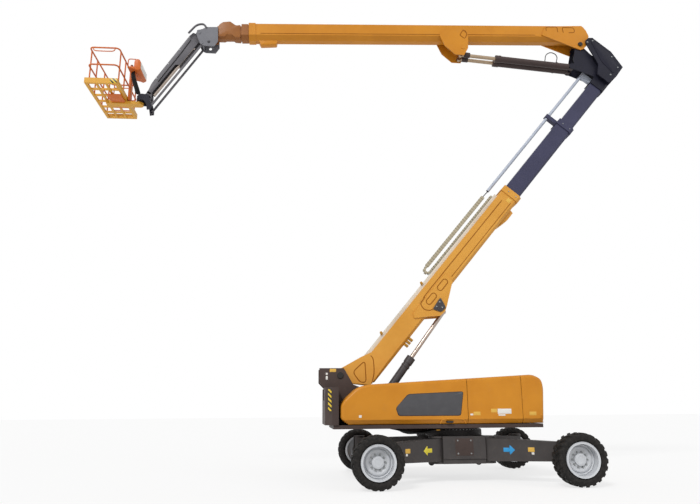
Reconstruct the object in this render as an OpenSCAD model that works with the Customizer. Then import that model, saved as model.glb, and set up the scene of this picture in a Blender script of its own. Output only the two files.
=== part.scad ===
// Articulating boom lift: a telescopic tower, a telescopic upper boom, a jib and a work platform
// on a slewing turntable, carried by a chassis with four swing-out axle arms.
// Millimetres. X runs along the booms, Y across, Z up from the ground.

/* [Wheels and axle arms] */
// Tyre outside diameter
tyre_d = 1155; // [1050:5:1250]
// Tyre width
tyre_w = 445; // [380:5:480]
// Bead seat diameter of the rim
rim_d = 711; // [640:1:740]
// Rim width between its flanges
rim_w = 400; // [340:5:430]
// Wheel centre forward of the slewing axis
wheel_x = 2260; // [2100:10:2500]
// Wheel centre beside the slewing axis, axle arms swung out
wheel_y = 2310; // [2150:10:2500]
// Wheel centre outboard of its king pin
kingpin_offset = 450; // [440:5:520]
// Arm pivot forward of the slewing axis
arm_pivot_x = 620; // [600:5:680]
// Arm pivot beside the slewing axis
arm_pivot_y = 780; // [740:5:800]
// Diameter of the arm's root boss
arm_boss_d = 360; // [300:5:380]
// Diameter of the arm's king pin boss
arm_tip_d = 260; // [220:5:260]
// Height of the arm's top at its king pin
arm_tip_top = 930; // [880:5:960]
// Height of the arm's underside at its king pin
arm_tip_low = 500; // [470:5:540]
// Diameter of the king pins
kingpin_d = 100; // [80:2:120]
// Diameter of the arm pivot pins
arm_pin_d = 120; // [90:2:140]

/* [Chassis] */
// Length of the centre box along X
chassis_l = 1040; // [960:10:1100]
// Width of the centre box along Y
chassis_w = 2000; // [1960:10:2100]
// Underside of the centre box
chassis_low = 413; // [380:5:440]
// Top of the centre box
chassis_top = 1048; // [1000:5:1080]
// Thickness of the box's top and bottom plates
chassis_plate = 44; // [30:2:50]
// Diameter of the pedestal under the slewing ring
pedestal_d = 1400; // [1300:10:1500]
// Diameter of the slewing ring
ring_d = 1280; // [1160:10:1290]
// Height of the slewing ring's top face
slew_z = 1240; // [1200:5:1260]
// Bore of the tie-down lugs
lug_bore_d = 56; // [40:1:70]
// Thickness of the tie-down lugs
lug_t = 44; // [30:2:60]

/* [Turntable] */
// Thickness of the deck
deck_t = 90; // [70:5:110]
// Deck end under the tower's foot
deck_rear = -3155; // [-3200:5:-3120]
// Deck end under the tower's head
deck_front = 1950; // [1930:5:1990]
// Half width of the deck
deck_half_w = 1120; // [1080:5:1140]
// Distance from the middle to the inner face of each upright
upright_y = 340; // [320:5:380]
// Thickness of the uprights
upright_t = 50; // [40:2:60]
// Outer face of the hoods, from the middle
hood_y = 1200; // [1180:5:1260]
// Thickness of the hood walls
hood_t = 40; // [25:1:60]
// Gap between hood panels
panel_gap = 12; // [8:1:16]
// Top of the counterweight
counterweight_top = 2220; // [2100:10:2260]

/* [Tower boom] */
// Foot pin, along X from the slewing axis
foot_x = -2941; // [-2960:1:-2920]
// Foot pin height
foot_z = 2533; // [2500:1:2560]
// Tower angle above level as it stands
tower_angle = 50.2; // [48:0.1:52]
// Tower axis below its foot pin
tower_drop = 520; // [500:5:540]
// Width of the base section
tower_w = 460; // [440:2:480]
// Depth of the base section
tower_h = 540; // [520:2:560]
// Wall of the tower sections
tower_wall = 16; // [12:1:20]
// Gap around each nested section
nest_gap = 12; // [8:1:16]
// End of the base section, along the tower from the foot pin
tower_base_end = 7050; // [6950:10:7150]
// End of the middle section as it stands
tower_mid_end = 9840; // [9800:10:9900]
// End of the fly section as it stands
tower_fly_end = 11780; // [11740:10:11840]
// Lift cylinder's rod pin, along the tower
tower_lug_x = 3095; // [3050:5:3150]
// Lift cylinder's rod pin below the tower axis
tower_lug_drop = 440; // [430:5:460]
// Lift cylinder's base pin, along X from the slewing axis
tower_cyl_x = -2150; // [-2200:5:-2100]
// Lift cylinder's base pin height
tower_cyl_z = 1530; // [1510:5:1560]
// Lift cylinder's barrel diameter
tower_barrel_d = 210; // [180:2:220]
// Lift cylinder's rod diameter
tower_rod_d = 112; // [90:2:130]

/* [Upper boom] */
// Pivot on the tower's head, along X from the slewing axis
pivot_x = 4400; // [4380:1:4420]
// Pivot height
pivot_z = 12390; // [12370:1:12410]
// Droop of the boom below level as it stands
upper_droop = 2.1; // [0:0.1:4]
// Width of the base section
upper_w = 420; // [400:2:440]
// Depth of the base section
upper_h = 480; // [460:2:500]
// Wall of the upper sections
upper_wall = 14; // [10:1:18]
// Underside of the base section above the pivot
upper_rise = 165; // [150:5:180]
// End of the base section from the pivot
upper_base_end = 9960; // [9900:10:10020]
// End of the middle section as it stands
upper_mid_end = 10170; // [10150:10:10200]
// End of the fly section as it stands
upper_fly_end = 10870; // [10840:10:10920]
// Lift cylinders' rod pin, along the boom from the pivot
upper_lug_x = 3640; // [3600:5:3680]
// Lift cylinders' rod pin below the boom's underside
upper_lug_drop = 290; // [280:5:310]
// Lift cylinders' base pin behind the pivot, along X
upper_cyl_back = -290; // [-320:5:-260]
// Lift cylinders' base pin below the pivot
upper_cyl_drop = 720; // [700:5:760]
// Distance of each lift cylinder from the middle
upper_cyl_y = 120; // [118:1:130]
// Lift cylinder barrel diameter
upper_barrel_d = 186; // [160:2:200]
// Lift cylinder rod diameter
upper_rod_d = 104; // [90:2:120]

/* [Jib and platform] */
// Jib pin, along X from the slewing axis
jib_x = -6980; // [-7000:1:-6960]
// Jib pin height
jib_z = 12320; // [12300:1:12340]
// Length of the jib between its pins
jib_l = 2500; // [2450:5:2550]
// Jib angle below level as it stands
jib_droop = 56.8; // [54:0.1:60]
// Lower link's pin from the jib pin, along X
link_dx = 100; // [80:5:120]
// Lower link's pin below the jib pin
link_dz = 320; // [300:5:340]
// Platform depth along X
platform_l = 860; // [820:5:920]
// Platform width along Y
platform_w = 2100; // [2000:10:2200]
// Platform's front edge, ahead of the jib's lower pin
platform_ahead = 1403; // [1390:1:1420]
// Underside of the platform floor, below the jib's lower pin
platform_drop = 90; // [80:1:100]
// Height of the rails over the floor
rail_h = 1100; // [1050:5:1150]
// Diameter of the rail tubes
rail_d = 42; // [34:1:50]
// Height of the toe boards
toe_h = 150; // [100:5:180]
// Rotator axis, ahead of the jib's lower pin
rotator_ahead = 211; // [205:1:217]

/* [Fits] */
// Running clearance on pins and bores, on the radius
pin_fit = 0.3; // [0.1:0.05:0.5]
// Clearance of wear pads on sliding sections
pad_fit = 0.4; // [0.3:0.05:0.8]
// Side clearance between hinged plates
side_fit = 6; // [5:0.5:8]

/* [Hidden] */
$fn = 48;

paint = "#D58F2F";
rail_paint = "#C8562A";
dark_blue = "#4B4A58";
dark_grey = "#4A4847";
black_grey = "#2E2E3A";
rim_white = "#C9CBCC";
rubber = "#232323";
chrome = "#C9C3B8";
light_grey = "#8C8E92";
cream = "#E2DDD2";

// Jib's lower pin, and the platform's front and underside from it.
end_x = jib_x - jib_l * cos(jib_droop);
end_z = jib_z - jib_l * sin(jib_droop);
platform_front = end_x - platform_ahead;
platform_z = end_z - platform_drop;

// The slewing axis stands forward of the part's middle, so that the origin is under the middle.
head_end = 5615;
slew_x = -(platform_front + head_end) / 2;
eps = 0.01;
wheel_z = tyre_d / 2;

// Places a child in the turntable's own frame, X measured from the slewing axis.
module slewed() {
  translate([slew_x, 0, 0]) children();
}

// Stands a profile drawn in X and Z upright, centred on y with thickness t.
module upright_plate(t, y = 0) {
  translate([0, y + t / 2, 0]) rotate([90, 0, 0]) linear_extrude(t) children();
}

// Two mirrored plates whose inner faces lie at y.
module plate_pair(t, y) {
  upright_plate(t, y + t / 2) children();
  upright_plate(t, -y - t / 2) children();
}

// Cylinder along Y from y0 to y1 at x, z.
module pin_y(r, y0, y1, x = 0, z = 0) {
  translate([x, y1, z]) rotate([90, 0, 0]) cylinder(r = r, h = y1 - y0);
}

// Section of a bent-plate boom: flat top, upright walls, bevelled underside, centred on the origin.
function boom_profile(w, h, b) = [
  [-w / 2, h / 2], [-w / 2, -h / 2 + b], [-w / 2 + b, -h / 2],
  [w / 2 - b, -h / 2], [w / 2, -h / 2 + b], [w / 2, h / 2]];

// Runs a Y-Z profile along X from x0 to x1.
module along_x(x0, x1) {
  translate([x0, 0, 0]) rotate([90, 0, 90]) linear_extrude(x1 - x0) children();
}

// Boom section of outer size w by h and the given wall, from x0 to x1.
module boom_tube(w, h, b, wall, x0, x1) {
  along_x(x0, x1) difference() {
    polygon(boom_profile(w, h, b));
    polygon(boom_profile(w - 2 * wall, h - 2 * wall, b - wall * 0.41));
  }
}

// Ring of boom shape with outer size w by h and opening wi by hi.
module boom_ring(w, h, b, wi, hi, bi, x0, x1) {
  along_x(x0, x1) difference() {
    polygon(boom_profile(w, h, b));
    polygon(boom_profile(wi, hi, bi));
  }
}

// Axle arms, wheels

king_y = wheel_y - kingpin_offset;
arm_dx = wheel_x - arm_pivot_x;
arm_dy = king_y - arm_pivot_y;
arm_l = norm([arm_dx, arm_dy]);
arm_angle = atan2(arm_dy, arm_dx);
ear_low = chassis_low + chassis_plate;
ear_top = chassis_top - chassis_plate;
arm_low = ear_low + side_fit;
arm_top = ear_top - side_fit;
yoke_half_w = 150;
// Level stretch of the arm that the yoke swings over.
arm_flat = yoke_half_w + 40;

// Mirrors the front far corner to the other three: sx is the front or rear, sy the far or near side.
module corner(sx, sy) {
  slewed() scale_sign(sx, sy) children();
}

module scale_sign(sx, sy) {
  mirror([sx < 0 ? 1 : 0, 0, 0]) mirror([0, sy < 0 ? 1 : 0, 0]) children();
}

module axle_arm(sx, sy) {
  color(dark_grey) corner(sx, sy) translate([arm_pivot_x, arm_pivot_y, 0]) rotate([0, 0, arm_angle])
    difference() {
      union() {
        translate([0, 0, arm_low]) cylinder(d = arm_boss_d, h = arm_top - arm_low);
        intersection() {
          translate([0, -arm_boss_d, 0]) cube([arm_l, 2 * arm_boss_d, chassis_top]);
          upright_plate(arm_boss_d) polygon([[0, arm_low], [arm_l - arm_flat, arm_tip_low], [arm_l, arm_tip_low],
            [arm_l, arm_tip_top], [arm_l - arm_flat, arm_tip_top], [0, arm_top]]);
          linear_extrude(chassis_top) polygon([[0, -arm_boss_d / 2], [arm_l, -arm_tip_d / 2],
            [arm_l, arm_tip_d / 2], [0, arm_boss_d / 2]]);
        }
        translate([arm_l, 0, arm_tip_low]) cylinder(d = arm_tip_d, h = arm_tip_top - arm_tip_low);
      }
      translate([0, 0, arm_low - 1]) cylinder(r = arm_pin_d / 2 + pin_fit, h = arm_top - arm_low + 2);
      translate([arm_l, 0, arm_tip_low - 1])
        cylinder(r = kingpin_d / 2 + pin_fit, h = arm_tip_top - arm_tip_low + 2);
    }
}

yoke_t = 46;
yoke_y = arm_tip_d / 2 + 40;
spindle_plate_t = 50;
hub_d = 340;
disc_y = kingpin_offset - 40;
disc_t = 26;
spindle_d = 120;

module knuckle(sx, sy) {
  color(dark_grey) corner(sx, sy) translate([wheel_x, king_y, 0]) {
    for (z = [arm_tip_low - side_fit - yoke_t, arm_tip_top + side_fit]) {
      translate([0, 0, z]) cylinder(d = arm_tip_d, h = yoke_t);
      translate([-yoke_half_w, 0, z]) cube([2 * yoke_half_w, yoke_y + spindle_plate_t, yoke_t]);
    }
    translate([0, 0, arm_tip_low - side_fit]) cylinder(d = kingpin_d, h = arm_tip_top - arm_tip_low + 2 * side_fit);
    translate([-yoke_half_w, yoke_y, arm_tip_low - side_fit - yoke_t])
      cube([2 * yoke_half_w, spindle_plate_t, arm_tip_top - arm_tip_low + 2 * (side_fit + yoke_t)]);
    pin_y(hub_d / 2, yoke_y + spindle_plate_t, disc_y - pin_fit, 0, wheel_z);
    pin_y(spindle_d / 2, disc_y - 1, disc_y + disc_t + 20, 0, wheel_z);
  }
}

rim_wall = 18;
flange_h = 30;
flange_t = 22;
hub_cap_d = 260;
hub_cap_h = 60;

module rim(sx, sy) {
  color(rim_white) corner(sx, sy) translate([wheel_x, king_y, wheel_z]) {
    translate([0, kingpin_offset, 0]) rotate([90, 0, 0]) rotate_extrude($fn = 72) {
      translate([rim_d / 2 - rim_wall, -rim_w / 2]) square([rim_wall, rim_w]);
      for (y = [-rim_w / 2, rim_w / 2 - flange_t])
        translate([rim_d / 2 - rim_wall, y]) square([rim_wall + flange_h, flange_t]);
    }
    difference() {
      union() {
        pin_y(rim_d / 2 - rim_wall / 2, disc_y, disc_y + disc_t);
        pin_y(hub_cap_d / 2, disc_y + disc_t - 1, disc_y + disc_t + hub_cap_h);
      }
      pin_y(spindle_d / 2 + pin_fit, disc_y - 1, disc_y + disc_t + 20 + side_fit);
    }
  }
}

module tyre(sx, sy) {
  bead = rim_d / 2 + pin_fit;
  half = tyre_w / 2;
  bead_half = rim_w / 2 - flange_t - pin_fit;
  tread = tyre_d / 2;
  color(rubber) corner(sx, sy) translate([wheel_x, wheel_y, wheel_z]) rotate([90, 0, 0])
    rotate_extrude($fn = 72) polygon([
      [bead, -bead_half], [bead + flange_h + 1, -bead_half], [bead + flange_h + 1, -half + 30],
      [bead + 90, -half], [tread - 90, -half], [tread - 20, -half + 18], [tread, -half + 45],
      [tread, half - 45], [tread - 20, half - 18], [tread - 90, half], [bead + 90, half],
      [bead + flange_h + 1, half - 30], [bead + flange_h + 1, bead_half], [bead, bead_half]]);
}

// Chassis

cover_t = 25;
cover_low = 525;
ear_r = arm_boss_d / 2 + 20;
core_half_l = arm_pivot_x - ear_r;
pedestal_top = 1180;
lug_x = chassis_l / 2 + 90;
lug_z = chassis_low - lug_bore_d / 2 - 8;
lug_r = 75;

// Plan of the box's top and bottom plates, with an ear around each arm pivot.
module chassis_plan() {
  square([chassis_l, chassis_w], center = true);
  square([2 * arm_pivot_x, 2 * arm_pivot_y], center = true);
  for (sx = [-1, 1], sy = [-1, 1]) {
    translate([sx * arm_pivot_x, sy * arm_pivot_y]) circle(r = ear_r);
  }
}

module chassis_frame() {
  color(dark_grey) slewed() {
    translate([0, 0, chassis_low]) linear_extrude(chassis_plate) chassis_plan();
    translate([0, 0, ear_top]) linear_extrude(chassis_plate) chassis_plan();
    difference() {
      translate([-chassis_l / 2, -chassis_w / 2, ear_low - 1]) cube([chassis_l, chassis_w, ear_top - ear_low + 2]);
      for (sx = [-1, 1], sy = [-1, 1])
        translate([sx * arm_pivot_x, sy * arm_pivot_y, ear_low])
          cylinder(r = ear_r, h = ear_top - ear_low);
    }
    for (sx = [-1, 1], sy = [-1, 1])
      translate([sx * arm_pivot_x, sy * arm_pivot_y, ear_low - 1])
        cylinder(d = arm_pin_d, h = ear_top - ear_low + 2);
    for (sy = [-1, 1])
      translate([-chassis_l / 2, sy * (chassis_w / 2 + cover_t / 2) - cover_t / 2 - 0.5, cover_low])
        cube([chassis_l, cover_t + 1, chassis_top - cover_low]);
    translate([0, 0, chassis_top - 1]) cylinder(d = pedestal_d, h = pedestal_top - chassis_top + 1, $fn = 72);
    translate([0, 0, pedestal_top - 1]) cylinder(d = ring_d, h = slew_z - pedestal_top + 1, $fn = 72);
    for (sx = [-1, 1])
      difference() {
        union() {
          pin_y(lug_r, -lug_t / 2, lug_t / 2, sx * lug_x, lug_z);
          translate([sx * lug_x - lug_r, -lug_t / 2, lug_z]) cube([2 * lug_r, lug_t, chassis_low - lug_z + 1]);
        }
        pin_y(lug_bore_d / 2, -lug_t, lug_t, sx * lug_x, lug_z);
      }
  }
}

// Turntable

deck_low = slew_z + pin_fit;
deck_top = deck_low + deck_t;
foot_pin_d = 140;
cyl_pin_d = 90;
cyl_lug_r = 95;
tower_cyl_y = 75;
cyl_lug_t = 45;
channel_top = 2150;
upright_profile = [[-3133, deck_low], [-3182, 1470], [-3332, 1496], [-3332, 2222], [-3472, 2370],
  [-3472, 2716], [-2852, 2716], [-2615, 2305], [-2180, channel_top], [-1900, channel_top],
  [-1900, deck_low]];

shelf_x0 = -1890;
shelf_x1 = 1730;
shelf_w = 35;

// Underside of the hoods' roofs at x.
function roof_z(x) = roof_rear_z - hood_t
  + (x - roof_rear_x - hood_t * 0.2) * (roof_front_z - roof_rear_z) / (roof_front_x - roof_rear_x - hood_t * 0.5);

module turntable_frame() {
  color(dark_grey) slewed() {
    translate([deck_rear, -deck_half_w, deck_low]) cube([deck_front - deck_rear, 2 * deck_half_w, deck_t]);
    plate_pair(upright_t, upright_y) polygon(upright_profile);
    plate_pair(upright_t / 2, upright_y + 4) polygon([[-1910, deck_low + 5], [-1910, channel_top - 3],
      [deck_front - 60, channel_top - 3], [deck_front - 60, deck_low + 5]]);
    for (s = [-1, 1])
      translate([shelf_x0, s > 0 ? upright_y + 10 : -hood_inner_y - shelf_w, channel_top - 50])
        cube([shelf_x1 - shelf_x0, hood_inner_y + shelf_w - upright_y - 10, 40]);
    plate_pair(shelf_w - 5, hood_inner_y + 5) polygon([[shelf_x0, channel_top - 40],
      [shelf_x0, roof_z(shelf_x0) - pin_fit], [shelf_x1, roof_z(shelf_x1) - pin_fit], [shelf_x1, channel_top - 40]]);
    pin_y(foot_pin_d / 2, -upright_y - upright_t - 20, upright_y + upright_t + 20, foot_x, foot_z);
    for (s = [-1, 1])
      translate([0, s * (tower_cyl_y + cyl_lug_t / 2), 0]) {
        pin_y(cyl_lug_r, -cyl_lug_t / 2, cyl_lug_t / 2, tower_cyl_x, tower_cyl_z);
        translate([tower_cyl_x - cyl_lug_r, -cyl_lug_t / 2, deck_top - 1])
          cube([2 * cyl_lug_r, cyl_lug_t, tower_cyl_z - deck_top + 1]);
      }
    pin_y(cyl_pin_d / 2, -tower_cyl_y - 1, tower_cyl_y + 1, tower_cyl_x, tower_cyl_z);
  }
}

counterweight_rear = -3348;
counterweight_front = -3030;
counterweight_half_w = 1150;

module counterweight() {
  gap_y0 = upright_y - pin_fit;
  gap_y1 = upright_y + upright_t + pin_fit;
  base_z = deck_top + pin_fit;
  color(dark_grey) slewed() {
    translate([counterweight_rear, -gap_y0, base_z])
      cube([counterweight_front - counterweight_rear, 2 * gap_y0, counterweight_top - base_z - 300]);
    for (s = [-1, 1])
      intersection() {
        translate([counterweight_rear, s > 0 ? gap_y1 : -counterweight_half_w, base_z])
          cube([counterweight_front - counterweight_rear, counterweight_half_w - gap_y1,
            counterweight_top - base_z]);
        linear_extrude(counterweight_top) polygon([[counterweight_front, -counterweight_half_w],
          [counterweight_rear + 160, -counterweight_half_w], [counterweight_rear, -counterweight_half_w + 260],
          [counterweight_rear, counterweight_half_w - 260], [counterweight_rear + 160, counterweight_half_w],
          [counterweight_front, counterweight_half_w]]);
      }
  }
}

engine_size = [1150, 520, 720];
engine_x = -1500;
engine_y = 520;

module engine_block() {
  color(black_grey) slewed() translate([engine_x, engine_y, deck_top + pin_fit]) cube(engine_size);
}

// Hoods

hood_low = deck_top + 12;
hood_inner_y = upright_y + upright_t + 30;
hood_rear_x = -2981;
hood_front_x = 2013;
roof_rear_z = 2275;
roof_front_z = 2500;
roof_rear_x = -2330;
roof_front_x = 1763;
hood_split_1 = 87;
hood_split_2 = 1438;
hinge_r = 12;
hinge_y = hood_inner_y - hinge_r;
hinge_end = 60;
roof_slope = atan2(roof_front_z - roof_rear_z, roof_front_x - roof_rear_x);
chamfer_z = 1450;
chamfer_in = 90;

// Side outline of a hood, drawn in by i.
function hood_outline(i) = [
  [hood_front_x - 64 - i, hood_low - (i > 0 ? 200 : 50)], [hood_front_x - i, 2169],
  [hood_front_x - 32 - i, 2385 - i * 0.4], [roof_front_x - i * 0.3, roof_front_z - i],
  [roof_rear_x + i * 0.2, roof_rear_z - i], [-2570 + i * 0.5, 2216 - i],
  [-2885 + i * 0.8, 1938 - i * 0.5], [hood_rear_x + i, 1800], [hood_rear_x + i, 1478],
  [hood_rear_x + 70 + i, 1420], [hood_rear_x + 267 + i, hood_low - (i > 0 ? 200 : 50)]];

// Solid of a whole hood on the far side, its walls drawn in by i.
module hood_solid(i) {
  intersection() {
    upright_plate(hood_y - hood_inner_y + 2 * i, (hood_y + hood_inner_y) / 2 - 2 * i) polygon(hood_outline(i));
    along_x(hood_rear_x - 10, hood_front_x + 10) polygon([[hood_inner_y - 3 * i - 1, hood_low - 250],
      [hood_y - 3.3 * chamfer_in - i, hood_low - 250],
      [hood_y - i, chamfer_z + i * 0.3], [hood_y - i, roof_front_z + 50],
      [hood_inner_y - 3 * i - 1, roof_front_z + 50]]);
  }
}

// One hood panel between x0 and x1.
module hood_panel(side, x0, x1) {
  color(paint) slewed() mirror([0, side < 0 ? 1 : 0, 0])
    intersection() {
      difference() {
        hood_solid(0);
        hood_solid(hood_t);
      }
      translate([x0, 0, hood_low]) cube([x1 - x0, hood_y + 1, roof_front_z]);
    }
}

// Tube and leaf that a lifting panel turns on, along the inner edge of its roof.
module hood_hinge(side, x0, x1) {
  l = (x1 - x0) / cos(roof_slope);
  color(paint) slewed() mirror([0, side < 0 ? 1 : 0, 0])
    translate([x0, hinge_y, roof_rear_z + (x0 - roof_rear_x) * tan(roof_slope) - hood_t / 2])
      rotate([0, -roof_slope, 0]) {
        rotate([0, 90, 0]) cylinder(r = hinge_r, h = l);
        translate([0, 0, -hinge_r / 2]) cube([l, hood_inner_y - hinge_y + 1, hinge_r]);
      }
}

module hood_rear(side) {
  hood_panel(side, hood_rear_x - 5, hood_split_1 - panel_gap / 2);
  hood_hinge(side, roof_rear_x + hinge_end, hood_split_1 - hinge_end);
}

module hood_mid(side) {
  hood_panel(side, hood_split_1 + panel_gap / 2, hood_split_2 - panel_gap / 2);
  hood_hinge(side, hood_split_1 + hinge_end, hood_split_2 - hinge_end);
}

module hood_front(side) {
  hood_panel(side, hood_split_2 + panel_gap / 2, hood_front_x + 5);
}

// Tower boom

tower_bevel = 70;
mid_w = tower_w - 2 * (tower_wall + nest_gap);
mid_h = tower_h - 2 * (tower_wall + nest_gap);
mid_bevel = 62;
fly_w = mid_w - 2 * (tower_wall + nest_gap);
fly_h = mid_h - 2 * (tower_wall + nest_gap);
fly_bevel = 54;
collar_l = 190;
collar_wall = 26;
pad_l = 160;
tower_tube_start = 450;
tower_mid_l = 6500;
tower_fly_l = 6400;
foot_plate_t = 40;
foot_lobe_r = 150;
gusset_t = 30;

// Frame of the tower: origin on the foot pin, X along the tower, Z across it on the upper side.
module tower_frame() {
  slewed() translate([foot_x, 0, foot_z]) rotate([0, -tower_angle, 0]) children();
}

// Frame of the tower's axis.
module tower_axis() {
  tower_frame() translate([0, 0, -tower_drop]) children();
}

tower_foot_profile = [[-60, 137], [60, 140], [700, -tower_drop + tower_h / 2 + 140],
  [1000, -tower_drop + tower_h / 2 - 5], [1000, -tower_drop - tower_h / 2 + tower_bevel],
  [330, -tower_drop - tower_h / 2 + 40], [244, -646], [62, -367], [-140, -40]];
tower_gusset = [[2400, -tower_h / 2 + 230], [2700, -tower_h / 2 - 60], [2900, -tower_lug_drop - 100],
  [3080, -tower_lug_drop - 125], [3230, -tower_lug_drop - 70], [3850, -tower_h / 2 + 40],
  [3900, -tower_h / 2 + 330], [2480, -tower_h / 2 + 330]];
lug_stub_d = 110;
rod_eye_w = 120;

module tower_base() {
  color(paint) {
    tower_frame() difference() {
      union() {
        plate_pair(foot_plate_t, tower_w / 2) polygon(tower_foot_profile);
        pin_y(foot_lobe_r, -upright_y + side_fit, upright_y - side_fit);
      }
      pin_y(foot_pin_d / 2 + pin_fit, -upright_y, upright_y);
    }
    tower_axis() {
      boom_tube(tower_w, tower_h, tower_bevel, tower_wall, tower_tube_start, tower_base_end);
      boom_ring(tower_w + 2 * collar_wall, tower_h + 2 * collar_wall, tower_bevel + 10,
        mid_w + 2 * pad_fit, mid_h + 2 * pad_fit, mid_bevel, tower_base_end - collar_l, tower_base_end);
      plate_pair(gusset_t, tower_w / 2) polygon(tower_gusset);
      for (s = [-1, 1])
        pin_y(lug_stub_d / 2, s > 0 ? rod_eye_w / 2 + side_fit : -tower_w / 2 - gusset_t - 15,
          s > 0 ? tower_w / 2 + gusset_t + 15 : -rod_eye_w / 2 - side_fit, tower_lug_x, -tower_lug_drop);
    }
  }
}

tray_w = 200;
tray_h = 90;
tray_t = 6;
tray_x0 = 800;
tray_x1 = 6700;

module hose_tray() {
  color(cream) tower_axis() along_x(tray_x0, tray_x1) translate([0, tower_h / 2]) difference() {
    translate([-tray_w / 2, 0]) square([tray_w, tray_h]);
    translate([-tray_w / 2 + tray_t, tray_t]) square([tray_w - 2 * tray_t, tray_h]);
  }
}

module tower_mid() {
  x0 = tower_mid_end - tower_mid_l;
  color(dark_blue) tower_axis() {
    boom_tube(mid_w, mid_h, mid_bevel, tower_wall, x0, tower_mid_end);
    boom_ring(tower_w - 2 * tower_wall - 2 * pad_fit, tower_h - 2 * tower_wall - 2 * pad_fit,
      tower_bevel - 6, mid_w - 2, mid_h - 2, mid_bevel, x0, x0 + pad_l);
    boom_ring(mid_w + 2 * collar_wall, mid_h + 2 * collar_wall, mid_bevel + 10,
      fly_w + 2 * pad_fit, fly_h + 2 * pad_fit, fly_bevel, tower_mid_end - collar_l, tower_mid_end);
    difference() {
      translate([tower_mid_end - 150, -80, mid_h / 2 + collar_wall - 1])
        cube([110, 160, tube_z + 80 - mid_h / 2 - collar_wall]);
      translate([tower_mid_end - 151, 0, tube_z]) rotate([0, 90, 0]) cylinder(d = tube_d + 2 * pad_fit, h = 112);
    }
  }
}

head_l = 560;

module tower_fly() {
  x0 = tower_fly_end - tower_fly_l;
  color(dark_blue) tower_axis() {
    boom_tube(fly_w, fly_h, fly_bevel, tower_wall, x0, tower_fly_end);
    boom_ring(mid_w - 2 * tower_wall - 2 * pad_fit, mid_h - 2 * tower_wall - 2 * pad_fit,
      mid_bevel - 6, fly_w - 2, fly_h - 2, fly_bevel, x0, x0 + pad_l);
  }
}

// Head of the tower, drawn in X and Z from the slewing axis.

head_plate_t = 36;
head_plate_y = 290;
head_outline = [[4547, 12483], [4648, 12572], [4773, 12578], [5307, 12124], [head_end, 11615],
  [5379, 11299], [5120, 11080], [4800, 11360], [4858, 11698], [4539, 12404]];
head_lug_t = 28;
head_lug_y = upper_w / 2 - side_fit - head_lug_t;
upper_pin_d = 120;
head_lug_r = 130;
upper_cyl_x = pivot_x + upper_cyl_back;
upper_cyl_z = pivot_z - upper_cyl_drop;
upper_cyl_pin_d = 80;
upper_cyl_lug_r = 95;
foot_t = 30;

module tower_head() {
  color(black_grey) {
    tower_axis() {
      boom_ring(fly_w + 60, fly_h + 60, fly_bevel + 12, fly_w + 2 * pin_fit, fly_h + 2 * pin_fit, fly_bevel,
        tower_fly_end - 330, tower_fly_end + 1);
      translate([tower_fly_end + pin_fit, -head_plate_y - 1, -fly_h / 2 - 30])
        cube([40, 2 * head_plate_y + 2, fly_h + 60]);
    }
    slewed() {
      plate_pair(head_plate_t, head_plate_y) polygon(head_outline);
      upright_plate(2 * head_plate_y + 2) polygon([[5379, 11299], [5350, 11340],
        [5560, 11630], [head_end, 11615]]);
      plate_pair(head_lug_t, head_lug_y) {
        translate([pivot_x, pivot_z]) circle(r = head_lug_r);
        translate([upper_cyl_x, upper_cyl_z]) circle(r = upper_cyl_lug_r);
        polygon([[pivot_x - 126, pivot_z - 30], [pivot_x, pivot_z], [pivot_x + 105, pivot_z - 76],
          [4950, 11830], [5180, 11420], [5080, 11300], [4760, 11330], [upper_cyl_x + 30, upper_cyl_z - 90],
          [upper_cyl_x, upper_cyl_z], [upper_cyl_x + 70, upper_cyl_z + 110], [upper_cyl_x + 50, upper_cyl_z + 230]]);
      }
      pin_y(upper_pin_d / 2, -upper_w / 2 - foot_t - 15, upper_w / 2 + foot_t + 15, pivot_x, pivot_z);
      pin_y(upper_cyl_pin_d / 2, -head_lug_y - 1, head_lug_y + 1, upper_cyl_x, upper_cyl_z);
    }
  }
}

tube_d = 90;
tube_z = 560;
tube_x0 = 6680;
tube_x1 = 11900;

// Rigid hose guide tube over the tower, with the foot that clamps it to the head's socket.
module hose_tube() {
  color(light_grey) tower_axis() {
    translate([tube_x0, 0, tube_z]) rotate([0, 90, 0]) difference() {
      cylinder(d = tube_d, h = tube_x1 - tube_x0);
      translate([0, 0, -1]) cylinder(d = tube_d - 12, h = tube_x1 - tube_x0 + 2);
    }
    difference() {
      translate([tower_fly_end - 260, -60, fly_h / 2 + 30 + pin_fit])
        cube([160, 120, tube_z - fly_h / 2 - 30]);
      translate([tube_x0, 0, tube_z]) rotate([0, 90, 0]) cylinder(d = tube_d - 6, h = tube_x1 - tube_x0);
    }
  }
}

chain_x0 = 3730;
chain_x1 = 6440;
chain_low_x1 = 4750;
chain_t = 70;
chain_w = 150;
run_h = 124;
run_wall = 12;
chain_low_z = tower_h / 2 + tray_t + pin_fit + chain_t / 2;
chain_r = (tube_z - chain_low_z) / 2;

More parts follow.
